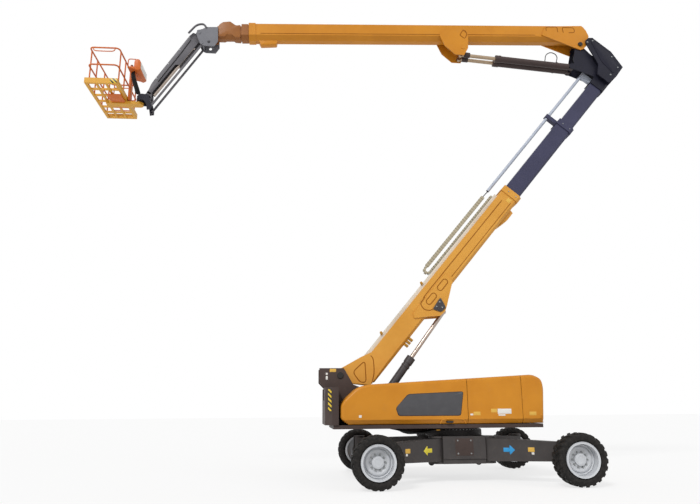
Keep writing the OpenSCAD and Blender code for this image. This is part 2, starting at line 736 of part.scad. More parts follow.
// Hose carrier: a lower run in the tray, a half-round bend and a hollow upper run the tube slides into.
module hose_chain() {
  color(cream) tower_axis() {
    translate([chain_x0 - 1, -chain_w / 2, chain_low_z - chain_t / 2])
      cube([chain_low_x1 - chain_x0 + 1, chain_w, chain_t]);
    difference() {
      translate([chain_x0 - 1, -chain_w / 2, tube_z - run_h / 2]) cube([chain_x1 - chain_x0 + 1, chain_w, run_h]);
      translate([chain_x0 + 90, -chain_w / 2 + run_wall, tube_z - run_h / 2 + run_wall])
        cube([chain_x1 - chain_x0, chain_w - 2 * run_wall, run_h - 2 * run_wall]);
    }
    translate([chain_x0, chain_w / 2, chain_low_z + chain_r]) rotate([90, 0, 0]) intersection() {
      difference() {
        cylinder(r = chain_r + chain_t / 2, h = chain_w);
        translate([0, 0, -1]) cylinder(r = chain_r - chain_t / 2, h = chain_w + 2);
      }
      translate([-2 * chain_r, -2 * chain_r, -1]) cube([2 * chain_r, 4 * chain_r, chain_w + 2]);
    }
  }
}

// Lift cylinders

// Barrel with a base eye at the origin, bored for its pin, and an open gland at length l along X.
module barrel(d, l, rod_d, eye_w, pin_d, lug_r) {
  gland_l = 0.9 * d;
  start = lug_r + side_fit;
  difference() {
    union() {
      pin_y(0.45 * d, -eye_w / 2, eye_w / 2);
      translate([0, -eye_w / 2, -0.38 * d]) cube([start + 1, eye_w, 0.76 * d]);
      rotate([0, 90, 0]) translate([0, 0, start]) cylinder(d = d, h = l - start);
      rotate([0, 90, 0]) translate([0, 0, l - gland_l]) cylinder(d = 1.14 * d, h = gland_l);
    }
    pin_y(pin_d / 2 + pin_fit, -eye_w, eye_w);
    rotate([0, 90, 0]) translate([0, 0, d]) cylinder(d = rod_d + 2 * pin_fit, h = l);
  }
}

// Rod from x0 to its eye, which is centred at length l along X.
module rod(d, x0, l, eye_w) {
  rotate([0, 90, 0]) translate([0, 0, x0]) cylinder(d = d, h = l - x0 - 0.4 * d);
  pin_y(0.58 * d, -eye_w / 2, eye_w / 2, l, 0);
}

tower_lug = [foot_x + tower_lug_x * cos(tower_angle) + (tower_drop + tower_lug_drop) * sin(tower_angle),
  foot_z + tower_lug_x * sin(tower_angle) - (tower_drop + tower_lug_drop) * cos(tower_angle)];
tower_cyl_v = tower_lug - [tower_cyl_x, tower_cyl_z];
// The rod's eye hangs a little low between its lugs as it stands, to share out the swing's error.
tower_sag = 2;
tower_cyl_angle = atan2(tower_cyl_v[1], tower_cyl_v[0]) - tower_sag;
tower_cyl_l = norm(tower_cyl_v) - 14;
tower_barrel_l = 1850;
tower_rod_x0 = 1290;

module tower_cylinder_frame() {
  slewed() translate([tower_cyl_x, 0, tower_cyl_z]) rotate([0, -tower_cyl_angle, 0]) children();
}

module tower_barrel() {
  color(dark_grey) tower_cylinder_frame()
    barrel(tower_barrel_d, tower_barrel_l, tower_rod_d, 2 * (tower_cyl_y - side_fit), cyl_pin_d, cyl_lug_r);
}

module tower_rod() {
  color(chrome) tower_cylinder_frame() rod(tower_rod_d, tower_rod_x0, tower_cyl_l, rod_eye_w);
}

// Upper boom

// Frame of the upper boom: origin on its pivot, X along the boom to the platform, Z up across it.
module upper_frame() {
  slewed() translate([pivot_x, 0, pivot_z]) mirror([1, 0, 0]) rotate([0, upper_droop, 0]) children();
}

upper_axis_z = upper_rise + upper_h / 2;

module upper_axis() {
  upper_frame() translate([0, 0, upper_axis_z]) children();
}

upper_bevel = 120;
upper_mid_w = upper_w - 2 * (upper_wall + nest_gap);
upper_mid_h = upper_h - 2 * (upper_wall + nest_gap);
upper_mid_bevel = 110;
upper_fly_w = upper_mid_w - 2 * (upper_wall + nest_gap);
upper_fly_h = upper_mid_h - 2 * (upper_wall + nest_gap);
upper_fly_bevel = 100;
upper_collar_l = 200;
upper_collar_wall = 18;
upper_mid_l = 9700;
upper_fly_l = 9900;
upper_start = -170;
upper_top = upper_rise + upper_h;
upper_foot_profile = [[-174, upper_top - 45], [-253, 476], [-314, 282], [-200, -40], [-90, -150],
  [0, -180], [82, -149], [940, 227], [1160, 330], [1000, upper_top - 30], [-120, upper_top - 5]];
upper_gusset = [[4320, upper_rise + 130], [4174, -66], [3886, -349], [3614, -365], [3480, -140],
  [3440, upper_rise + 130], [3620, upper_rise + 330], [4100, upper_rise + 330]];
upper_lug_z = upper_rise - upper_lug_drop;
upper_eye_w = 96;
upper_stub_y = upper_cyl_y + upper_eye_w / 2 + side_fit;

module upper_base() {
  color(paint) {
    upper_axis() {
      boom_tube(upper_w, upper_h, upper_bevel, upper_wall, upper_start, upper_base_end);
      boom_ring(upper_w + 2 * upper_collar_wall, upper_h + 2 * upper_collar_wall, upper_bevel + 8,
        upper_mid_w + 2 * pad_fit, upper_mid_h + 2 * pad_fit, upper_mid_bevel,
        upper_base_end - upper_collar_l, upper_base_end);
    }
    upper_frame() {
      difference() {
        plate_pair(foot_t, upper_w / 2) polygon(upper_foot_profile);
        pin_y(upper_pin_d / 2 + pin_fit, -upper_w, upper_w);
      }
      plate_pair(foot_t, upper_w / 2) polygon(upper_gusset);
      for (s = [-1, 1])
        pin_y(45, s > 0 ? upper_stub_y : -upper_w / 2 - foot_t - 12,
          s > 0 ? upper_w / 2 + foot_t + 12 : -upper_stub_y, upper_lug_x, upper_lug_z);
    }
  }
}

module upper_mid() {
  x0 = upper_mid_end - upper_mid_l;
  color(paint) upper_axis() {
    boom_tube(upper_mid_w, upper_mid_h, upper_mid_bevel, upper_wall, x0, upper_mid_end);
    boom_ring(upper_w - 2 * upper_wall - 2 * pad_fit, upper_h - 2 * upper_wall - 2 * pad_fit,
      upper_bevel - 6, upper_mid_w - 2, upper_mid_h - 2, upper_mid_bevel, x0, x0 + pad_l);
    boom_ring(upper_mid_w + 2 * upper_collar_wall, upper_mid_h + 2 * upper_collar_wall, upper_mid_bevel + 8,
      upper_fly_w + 2 * pad_fit, upper_fly_h + 2 * pad_fit, upper_fly_bevel,
      upper_mid_end - upper_collar_l, upper_mid_end);
  }
}

level_x = -6600;
level_z = 12240;
level_pin_d = 90;
ear_y = 70;
ear_t = 40;

// Level pivot in the upper boom's frame.
level_dx = pivot_x - level_x;
level_dz = level_z - pivot_z;
level_u = level_dx * cos(upper_droop) - level_dz * sin(upper_droop);
level_v = level_dx * sin(upper_droop) + level_dz * cos(upper_droop);

module upper_fly() {
  x0 = upper_fly_end - upper_fly_l;
  color(paint) {
    upper_axis() {
      boom_tube(upper_fly_w, upper_fly_h, upper_fly_bevel, upper_wall, x0, upper_fly_end);
      boom_ring(upper_mid_w - 2 * upper_wall - 2 * pad_fit, upper_mid_h - 2 * upper_wall - 2 * pad_fit,
        upper_mid_bevel - 6, upper_fly_w - 2, upper_fly_h - 2, upper_fly_bevel, x0, x0 + pad_l);
      along_x(upper_fly_end - 30, upper_fly_end)
        polygon(boom_profile(upper_fly_w, upper_fly_h, upper_fly_bevel));
    }
    upper_frame() difference() {
      plate_pair(ear_t, ear_y) {
        translate([level_u, level_v]) circle(d = 200);
        translate([upper_fly_end - 20, level_v - 100]) square([level_u - upper_fly_end + 20, 200]);
      }
      pin_y(level_pin_d / 2 + pin_fit, -upper_w, upper_w, level_u, level_v);
    }
  }
}

upper_lug = [pivot_x - upper_lug_x * cos(upper_droop) - upper_lug_z * sin(upper_droop),
  pivot_z - upper_lug_x * sin(upper_droop) + upper_lug_z * cos(upper_droop)];
upper_cyl_v = upper_lug - [upper_cyl_x, upper_cyl_z];
upper_sag = 3.05;
upper_cyl_angle = atan2(upper_cyl_v[1], -upper_cyl_v[0]) - upper_sag;
upper_cyl_l = norm(upper_cyl_v) + 25;
upper_barrel_l = 2350;
upper_rod_x0 = 800;

module upper_cylinder_frame() {
  slewed() translate([upper_cyl_x, 0, upper_cyl_z]) mirror([1, 0, 0]) rotate([0, -upper_cyl_angle, 0])
    for (s = [-1, 1]) translate([0, s * upper_cyl_y, 0]) children();
}

module upper_barrels() {
  color(dark_grey) upper_cylinder_frame()
    barrel(upper_barrel_d, upper_barrel_l, upper_rod_d, 2 * (head_lug_y - side_fit - upper_cyl_y), upper_cyl_pin_d,
      upper_cyl_lug_r);
}

module upper_rods() {
  color(chrome) upper_cylinder_frame() rod(upper_rod_d, upper_rod_x0, upper_cyl_l, upper_eye_w);
}

// Jib

bracket_y = 172;
bracket_t = 28;
jib_pin_d = 80;
link_pin_d = 56;
link_x = jib_x + link_dx;
link_z = jib_z - link_dz;
link_end_x = end_x + link_dx;
link_end_z = end_z - link_dz;
tip_outline = [[-6804, 12511], [-6460, 12527], [-6440, 12067], [-6546, 11899], [-6831, 11904],
  [link_x - 70, link_z - 30], [jib_x - 90, jib_z - 60], [jib_x - 70, jib_z + 80], [-6900, 12440]];

module tip_bracket() {
  color(light_grey) slewed() {
    difference() {
      plate_pair(bracket_t, bracket_y) polygon(tip_outline);
      upright_plate(1000) translate([-6700, 12030]) circle(d = 90);
    }
    pin_y(level_pin_d / 2, -bracket_y - 1, bracket_y + 1, level_x, level_z);
    pin_y(jib_pin_d / 2, -bracket_y - bracket_t - 12, bracket_y + bracket_t + 12, jib_x, jib_z);
    pin_y(link_pin_d / 2, -bracket_y - bracket_t - 12, bracket_y + bracket_t + 12, link_x, link_z);
    translate([-6810, -bracket_y - 1, 12440]) cube([30, 2 * bracket_y + 2, 70]);
  }
}

// Frame of the jib: origin on its upper pin, X down along the jib, Z across it on the upper side.
module jib_frame() {
  slewed() translate([jib_x, 0, jib_z]) mirror([1, 0, 0]) rotate([0, jib_droop, 0]) children();
}

jib_half_h = 120;
jib_side_y = 90;
jib_side_t = 20;
jib_top_t = 24;
jib_boss_r = 85;
jib_barrel_d = 110;
jib_rod_d = 60;
jib_cyl_z = -50;
jib_barrel_x0 = 1150;
jib_barrel_x1 = 2250;

// Channel-section jib with its cylinder's barrel held between the side plates.
module jib_arm() {
  color(dark_grey) jib_frame() difference() {
    union() {
      plate_pair(jib_side_t, jib_side_y) {
        translate([0, -jib_half_h]) square([jib_l, 2 * jib_half_h]);
        circle(r = jib_half_h);
        translate([jib_l, 0]) circle(r = jib_half_h - 12);
      }
      translate([160, -jib_side_y - 1, jib_half_h - jib_top_t])
        cube([jib_l - 320, 2 * jib_side_y + 2, jib_top_t]);
      for (x = [0, jib_l])
        pin_y(jib_boss_r, -jib_side_y - jib_side_t - 20, jib_side_y + jib_side_t + 20, x, 0);
      translate([jib_barrel_x0, 0, jib_cyl_z]) rotate([0, 90, 0])
        cylinder(d = jib_barrel_d, h = jib_barrel_x1 - jib_barrel_x0);
      translate([jib_barrel_x1 - 120, -jib_side_y - 1, jib_cyl_z - 40]) cube([80, 2 * jib_side_y + 2, 80]);
      translate([jib_barrel_x0 + 60, -jib_side_y - 1, jib_cyl_z - 40]) cube([60, 2 * jib_side_y + 2, 80]);
    }
    for (x = [0, jib_l])
      pin_y(jib_pin_d / 2 + pin_fit, -bracket_y, bracket_y, x, 0);
    translate([jib_barrel_x0 - 1, 0, jib_cyl_z]) rotate([0, 90, 0])
      cylinder(d = jib_rod_d + 2 * pin_fit, h = jib_barrel_x1 - jib_barrel_x0 - 60);
  }
}

link_y = 138;
link_t = 20;
link_h = 60;

module jib_link() {
  color(dark_grey) slewed() translate([link_x, 0, link_z]) mirror([1, 0, 0]) rotate([0, jib_droop, 0])
    difference() {
      plate_pair(link_t, link_y) {
        translate([0, -link_h / 2]) square([jib_l, link_h]);
        for (x = [0, jib_l]) translate([x, 0]) circle(d = link_h + 30);
      }
      for (x = [0, jib_l]) pin_y(link_pin_d / 2 + pin_fit, -bracket_y, bracket_y, x, 0);
    }
}

jib_rod_x0 = 420;

module jib_rod() {
  color(chrome) jib_frame() {
    translate([jib_rod_x0, 0, jib_cyl_z]) rotate([0, 90, 0])
      cylinder(d = jib_rod_d, h = jib_barrel_x0 + 300 - jib_rod_x0);
    pin_y(50, -35, 35, jib_rod_x0, jib_cyl_z);
  }
}

rotator_d = 170;
rotator_x = end_x - rotator_ahead;
rotator_low = platform_z - 12;
rotator_top = platform_z + 192;
rotator_shaft_d = 100;
end_outline = [[end_x + 75, end_z + 62], [end_x - 131, end_z + 92], [end_x - 131, rotator_low + 4],
  [end_x - 60, rotator_low + 4], [end_x + 19, link_end_z + 112], [link_end_x - 51, link_end_z - 68],
  [link_end_x + 59, link_end_z - 48], [link_end_x + 59, link_end_z + 52]];

module platform_bracket() {
  color(black_grey) slewed() {
    plate_pair(bracket_t, bracket_y) {
      polygon(end_outline);
      translate([end_x, end_z]) circle(r = 90);
    }
    pin_y(jib_pin_d / 2, -bracket_y - 1, bracket_y + 1, end_x, end_z);
    for (s = [-1, 1])
      pin_y(link_pin_d / 2, s > 0 ? link_y - side_fit : -bracket_y - 1, s > 0 ? bracket_y + 1 : side_fit - link_y,
        link_end_x, link_end_z);
    difference() {
      union() {
        translate([rotator_x, 0, rotator_low]) cylinder(d = rotator_d, h = rotator_top - rotator_low);
        translate([rotator_x, -bracket_y - bracket_t, rotator_low + 4])
          cube([end_x - 131 - rotator_x + 20, 2 * (bracket_y + bracket_t), rotator_top - rotator_low - 24]);
      }
      translate([rotator_x, 0, rotator_low - 1]) cylinder(d = rotator_shaft_d + 2 * pin_fit, h = 150);
    }
  }
}

// Work platform

floor_t = 46;
platform_rear = platform_front + platform_l;
carrier_low = platform_z - 98;
carrier_half_w = 110;
mast_l = 80;
mast_w = 140;
toe_t = 14;
rail_top = platform_z + rail_h;
rail_mid = platform_z + rail_h * 0.52;
rail_r = rail_d / 2;
rail_corner = 110;
post_r = rail_r - 2;
post_in = rail_corner + 70;
rail_in = 24;
gate_w = 520;
gate_r = 16;
gate_x = platform_front + 150;
gate_y = platform_w / 2 - rail_in - 3 * rail_r - 12;

module platform_floor() {
  cell_x = 3;
  cell_y = 6;
  frame = 70;
  bar = 55;
  wx = (platform_l - 2 * frame - (cell_x - 1) * bar) / cell_x;
  wy = (platform_w - 2 * frame - (cell_y - 1) * bar) / cell_y;
  color(paint) slewed() {
    difference() {
      translate([platform_front, -platform_w / 2, platform_z]) cube([platform_l, platform_w, floor_t]);
      for (i = [0 : cell_x - 1], j = [0 : cell_y - 1])
        translate([platform_front + frame + i * (wx + bar), -platform_w / 2 + frame + j * (wy + bar),
          platform_z - 1]) cube([wx, wy, floor_t + 2]);
    }
    difference() {
      translate([platform_front, -platform_w / 2, platform_z]) cube([platform_l, platform_w, toe_h]);
      translate([platform_front + toe_t, -platform_w / 2 + toe_t, platform_z - 1])
        cube([platform_l - 2 * toe_t, platform_w - 2 * toe_t, toe_h + 2]);
    }
    translate([platform_front + 300, -carrier_half_w, carrier_low])
      cube([rotator_x - platform_front - 300, 2 * carrier_half_w, rotator_low - side_fit - carrier_low]);
    translate([platform_front + 300, -carrier_half_w, rotator_low - side_fit - 1])
      cube([platform_l - 300, 2 * carrier_half_w, platform_z - rotator_low + side_fit + 2]);
    translate([rotator_x, 0, carrier_low]) cylinder(r = carrier_half_w, h = rotator_low - side_fit - carrier_low);
    translate([rotator_x, 0, rotator_low - side_fit - 1]) cylinder(d = rotator_shaft_d, h = 140);
  }
}

// Rounded rectangular loop of tube with its outer edge at the given sizes.
module tube_loop(l, w) {
  hl = l / 2 - rail_r;
  hw = w / 2 - rail_r;
  c = rail_corner;
  for (s = [-1, 1]) {
    translate([-hl + c, s * hw, 0]) rotate([0, 90, 0]) cylinder(r = rail_r, h = 2 * (hl - c), $fn = 20);
    translate([s * hl, hw - c, 0]) rotate([90, 0, 0]) cylinder(r = rail_r, h = 2 * (hw - c), $fn = 20);
    for (t = [-1, 1])
      translate([s * (hl - c), t * (hw - c), 0])
        rotate([0, 0, s > 0 ? (t > 0 ? 0 : 270) : (t > 0 ? 90 : 180)])
          rotate_extrude(angle = 90) translate([c, 0]) circle(r = rail_r, $fn = 20);
  }
}

module platform_rails() {
  cx = platform_front + platform_l / 2;
  post_z = platform_z + floor_t + pin_fit;
  hx = platform_l / 2 - rail_in - rail_r;
  hy = platform_w / 2 - rail_in - rail_r;
  color(rail_paint) slewed() translate([cx, 0, 0]) {
    for (z = [rail_mid, rail_top - rail_r])
      translate([0, 0, z]) tube_loop(platform_l - 2 * rail_in, platform_w - 2 * rail_in);
    for (sx = [-1, 1], y = [-hy + post_in, -0.33 * hy, 0.33 * hy, hy - post_in])
      translate([sx * hx, y, post_z]) cylinder(r = post_r, h = rail_top - rail_r - post_z, $fn = 20);
    for (z = [rail_mid, rail_top - rail_r])
      pin_y(12, gate_y + gate_r + pin_fit, hy, gate_x - cx, z);
  }
}

console_l = 300;
console_w = 720;
console_low = 10960;
console_h = 330;

module control_console() {
  x0 = platform_rear + pin_fit;
  color(rail_paint) slewed() {
    translate([x0, -mast_w / 2, platform_z + 30]) cube([mast_l, mast_w, console_low - platform_z]);
    translate([x0 + 60, console_w / 2, console_low]) rotate([90, 0, 0]) linear_extrude(console_w)
      polygon([[0, 0], [console_l * 0.75, 0], [console_l, console_h * 0.35], [console_l, console_h * 0.8],
        [console_l * 0.8, console_h], [0, console_h * 0.8]]);
  }
}

// Swing gate at the far end, hung on the rails.
module platform_gate() {
  gate_z = platform_z + toe_h + 40;
  color(rail_paint) slewed() translate([gate_x, gate_y, 0]) {
    for (z = [gate_z + 30, rail_top - 150])
      translate([0, 0, z]) rotate([0, 90, 0]) cylinder(r = 14, h = gate_w, $fn = 20);
    for (x = [0, gate_w])
      translate([x, 0, gate_z]) cylinder(r = gate_r, h = rail_top - 8 - gate_z, $fn = 20);
  }
}

chassis_frame();
axle_arm(-1, -1);  // axle_arm_rn
axle_arm(1, -1);  // axle_arm_fn
axle_arm(-1, 1);  // axle_arm_rf
axle_arm(1, 1);  // axle_arm_ff
knuckle(-1, -1);  // knuckle_rn
knuckle(1, -1);  // knuckle_fn
knuckle(-1, 1);  // knuckle_rf
knuckle(1, 1);  // knuckle_ff
rim(-1, -1);  // rim_rn
rim(1, -1);  // rim_fn
rim(-1, 1);  // rim_rf
rim(1, 1);  // rim_ff
tyre(-1, -1);  // tyre_rn
tyre(1, -1);  // tyre_fn
tyre(-1, 1);  // tyre_rf
tyre(1, 1);  // tyre_ff
turntable_frame();
counterweight();
engine_block();
hood_rear(-1);  // hood_rear_near
hood_mid(-1);  // hood_mid_near
hood_front(-1);  // hood_front_near
hood_rear(1);  // hood_rear_far
hood_mid(1);  // hood_mid_far
hood_front(1);  // hood_front_far
tower_base();
hose_tray();
tower_mid();
hose_chain();
tower_fly();
tower_head();
hose_tube();
tower_barrel();
tower_rod();
upper_base();
upper_mid();
upper_fly();
upper_barrels();
upper_rods();
tip_bracket();
jib_arm();
jib_link();
jib_rod();
platform_bracket();
platform_floor();
platform_rails();
control_console();
platform_gate();
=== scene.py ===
import bmesh
import bpy
import numpy as np
from mathutils import Matrix


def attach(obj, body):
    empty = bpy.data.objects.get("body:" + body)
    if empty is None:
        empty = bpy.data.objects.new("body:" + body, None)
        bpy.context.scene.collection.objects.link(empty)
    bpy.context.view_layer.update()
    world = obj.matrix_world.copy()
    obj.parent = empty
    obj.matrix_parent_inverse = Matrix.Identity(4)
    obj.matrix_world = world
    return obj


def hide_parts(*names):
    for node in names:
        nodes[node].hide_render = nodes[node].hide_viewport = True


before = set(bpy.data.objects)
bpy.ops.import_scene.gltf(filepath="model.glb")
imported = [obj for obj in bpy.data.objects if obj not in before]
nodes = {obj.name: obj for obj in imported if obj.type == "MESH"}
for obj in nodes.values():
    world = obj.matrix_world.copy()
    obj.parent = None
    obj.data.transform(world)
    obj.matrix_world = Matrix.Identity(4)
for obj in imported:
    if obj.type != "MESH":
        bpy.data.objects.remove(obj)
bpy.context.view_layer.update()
print("frame loaded:", len(nodes), "nodes")

# Places repeated from the part's source
slewX = 2.0685
tower = {"footX": -2.941 + slewX, "footZ": 2.533, "angle": np.radians(50.2), "drop": 0.52}
upper = {"pivotX": 4.4 + slewX, "pivotZ": 12.39, "droop": np.radians(2.1)}
jib = {"pinX": -6.98 + slewX, "pinZ": 12.32, "droop": np.radians(56.8), "length": 2.5}
corners = {"rn": (-1, -1), "fn": (1, -1), "rf": (-1, 1), "ff": (1, 1)}


def point(x, y, z):
    return np.stack(np.broadcast_arrays(x, y, z), -1)


# Maps from a drawing plane to the frame: a and b lie in the drawing, t is across it
def onSide(a, b, t):
    return point(a + slewX, t, b)


def onTower(a, b, t):
    c, s = np.cos(tower["angle"]), np.sin(tower["angle"])
    n = b - tower["drop"]
    return point(tower["footX"] + a * c - n * s, t, tower["footZ"] + a * s + n * c)


def onUpper(a, b, t):
    c, s = np.cos(upper["droop"]), np.sin(upper["droop"])
    return point(upper["pivotX"] - a * c - b * s, t, upper["pivotZ"] - a * s + b * c)


def onJib(a, b, t):
    c, s = np.cos(jib["droop"]), np.sin(jib["droop"])
    return point(jib["pinX"] - a * c - b * s, t, jib["pinZ"] - a * s + b * c)


def onFloor(a, b, t):
    return point(a + slewX, b, t)


# Camera solved from the wheels, tower and platform
view = {"place": (-3.964 + slewX, -16.407, 1.677), "lens": 32.017, "sensor": 36.0,
        "pitch": 14.261, "yaw": 4.6175, "roll": -0.4655}


def placeCamera():
    p, y, r = np.radians([view["pitch"], view["yaw"], view["roll"]])
    ahead = np.array([np.sin(y) * np.cos(p), np.cos(y) * np.cos(p), np.sin(p)])
    right = np.array([np.cos(y), -np.sin(y), 0.0])
    top = np.cross(right, ahead)
    sideways = np.cos(r) * right + np.sin(r) * top
    upwards = -np.sin(r) * right + np.cos(r) * top
    lensData = bpy.data.cameras.new("view")
    lensData.lens, lensData.sensor_width, lensData.sensor_fit = view["lens"], view["sensor"], "HORIZONTAL"
    lensData.clip_end = 400.0
    eye = bpy.data.objects.new("view", lensData)
    bpy.context.scene.collection.objects.link(eye)
    turn = Matrix(np.stack([sideways, upwards, -ahead], 1).tolist()).to_4x4()
    eye.matrix_world = Matrix.Translation(view["place"]) @ turn
    bpy.context.scene.camera = eye


placeCamera()


# Colours and shader nodes
def linear(code):
    c = np.array([int(code[k:k + 2], 16) for k in (1, 3, 5)]) / 255.0
    c = np.where(c <= 0.04045, c / 12.92, ((c + 0.055) / 1.055) ** 2.4)
    return (*c.tolist(), 1.0)


def per(mm):
    return 1000.0 / mm


# Sets a node's sockets: another node's socket is linked, anything else is a constant
def feed(tree, made, sockets):
    for name, value in sockets.items():
        if isinstance(value, bpy.types.NodeSocket):
            tree.links.new(value, made.inputs[name])
        else:
            made.inputs[name].default_value = value


def add(tree, kind, sockets=None, **settings):
    made = tree.nodes.new("ShaderNode" + kind)
    for name, value in settings.items():
        setattr(made, name, value)
    feed(tree, made, sockets or {})
    return made


def noise(tree, place, mm, detail, rough=0.5):
    sockets = {"Vector": place, "Scale": per(mm), "Detail": detail, "Roughness": rough}
    return add(tree, "TexNoise", sockets).outputs["Fac"]


def mix(tree, share, first, second):
    return add(tree, "Mix", {"Factor": share, "A": first, "B": second}, data_type="RGBA").outputs["Result"]


def ramp(tree, share, low, high, first, second):
    made = add(tree, "ValToRGB", {"Fac": share})
    for stop, at, colour in zip(made.color_ramp.elements, (low, high), (first, second)):
        stop.position, stop.color = at, linear(colour)
    return made.outputs["Color"]


def spread(tree, value, low, high, first, second):
    sockets = {"Value": value, "From Min": low, "From Max": high, "To Min": first, "To Max": second}
    return add(tree, "MapRange", sockets).outputs["Result"]


def maths(tree, operation, *values):
    return add(tree, "Math", dict(enumerate(values)), operation=operation).outputs["Value"]


def bump(tree, height, strength, distance):
    return add(tree, "Bump", {"Height": height, "Strength": strength, "Distance": distance}).outputs["Normal"]


def blank(name):
    made = bpy.data.materials.new(name)
    made.use_nodes = True
    tree = made.node_tree
    return made, tree, tree.nodes["Principled BSDF"], add(tree, "TexCoord").outputs["Object"]


# Sprayed enamel on welded plate: rolled steel's slow waves, a film of dust and dull patches in the gloss.
# The spray's own 3 mm peel can't show at this range, so it is drawn at 40 mm.
def enamel(name, colour, deep, rough=0.36, dust=0.08, gloss=0.28):
    made, tree, shader, place = blank(name)
    tone = ramp(tree, noise(tree, place, 900, 5.0, 0.6), 0.30, 0.62, deep, colour)
    grime = noise(tree, place, 160, 8.0, 0.72)
    film = spread(tree, grime, 0.55, 0.82, 0.0, dust)
    height = maths(tree, "MULTIPLY_ADD", noise(tree, place, 40, 2.0), 0.03, noise(tree, place, 700, 1.0))
    feed(tree, shader, {"Base Color": mix(tree, film, tone, linear("#8F8577")),
                        "Roughness": spread(tree, grime, 0.0, 1.0, rough - 0.08, rough + 0.14),
                        "Normal": bump(tree, height, 0.12, 0.02), "Specular IOR Level": gloss})
    return made


# Vulcanised rubber: near black, matt, with grey road dust in the hollows
def rubber(name, colour, dusty, grain=60.0, rough=0.72):
    made, tree, shader, place = blank(name)
    tone = ramp(tree, noise(tree, place, grain, 7.0, 0.7), 0.42, 0.80, colour, dusty)
    feed(tree, shader, {"Base Color": tone, "Roughness": rough, "Specular IOR Level": 0.2,
                        "Normal": bump(tree, noise(tree, place, 14, 3.0), 0.25, 0.004)})
    return made


# Bare metal: polished or plated, with slow tarnish clouds that tint the mirror
def metal(name, colour, tarnish, rough):
    made, tree, shader, place = blank(name)
    tone = mix(tree, noise(tree, place, 450, 2.0), linear(tarnish), linear(colour))
    feed(tree, shader, {"Base Color": tone, "Roughness": rough, "Metallic": 1.0})
    return made


# Moulded or printed plastic: one even colour with faint mottling, satin
def plastic(name, colour, deep, rough=0.45, grain=25.0):
    made, tree, shader, place = blank(name)
    tone = mix(tree, noise(tree, place, grain * 8, 4.0), linear(deep), linear(colour))
    feed(tree, shader, {"Base Color": tone, "Roughness": rough,
                        "Normal": bump(tree, noise(tree, place, grain, 2.0), 0.08, 0.003)})
    return made


# Reflective warning tape: slanting bars of two colours, each bar as wide as given
def tape(name, first, second, barMm, slant):
    made, tree, shader, place = blank(name)
    cut = add(tree, "SeparateXYZ", {"Vector": place}).outputs
    lean = maths(tree, "MULTIPLY_ADD", cut["X"], slant, cut["Z"])
    across = maths(tree, "MULTIPLY_ADD", cut["Y"], slant, lean)
    part = maths(tree, "FRACT", maths(tree, "MULTIPLY", across, per(2 * barMm)))
    bar = maths(tree, "GREATER_THAN", part, 0.5)
    feed(tree, shader, {"Base Color": mix(tree, bar, linear(first), linear(second)), "Roughness": 0.4})
    return made


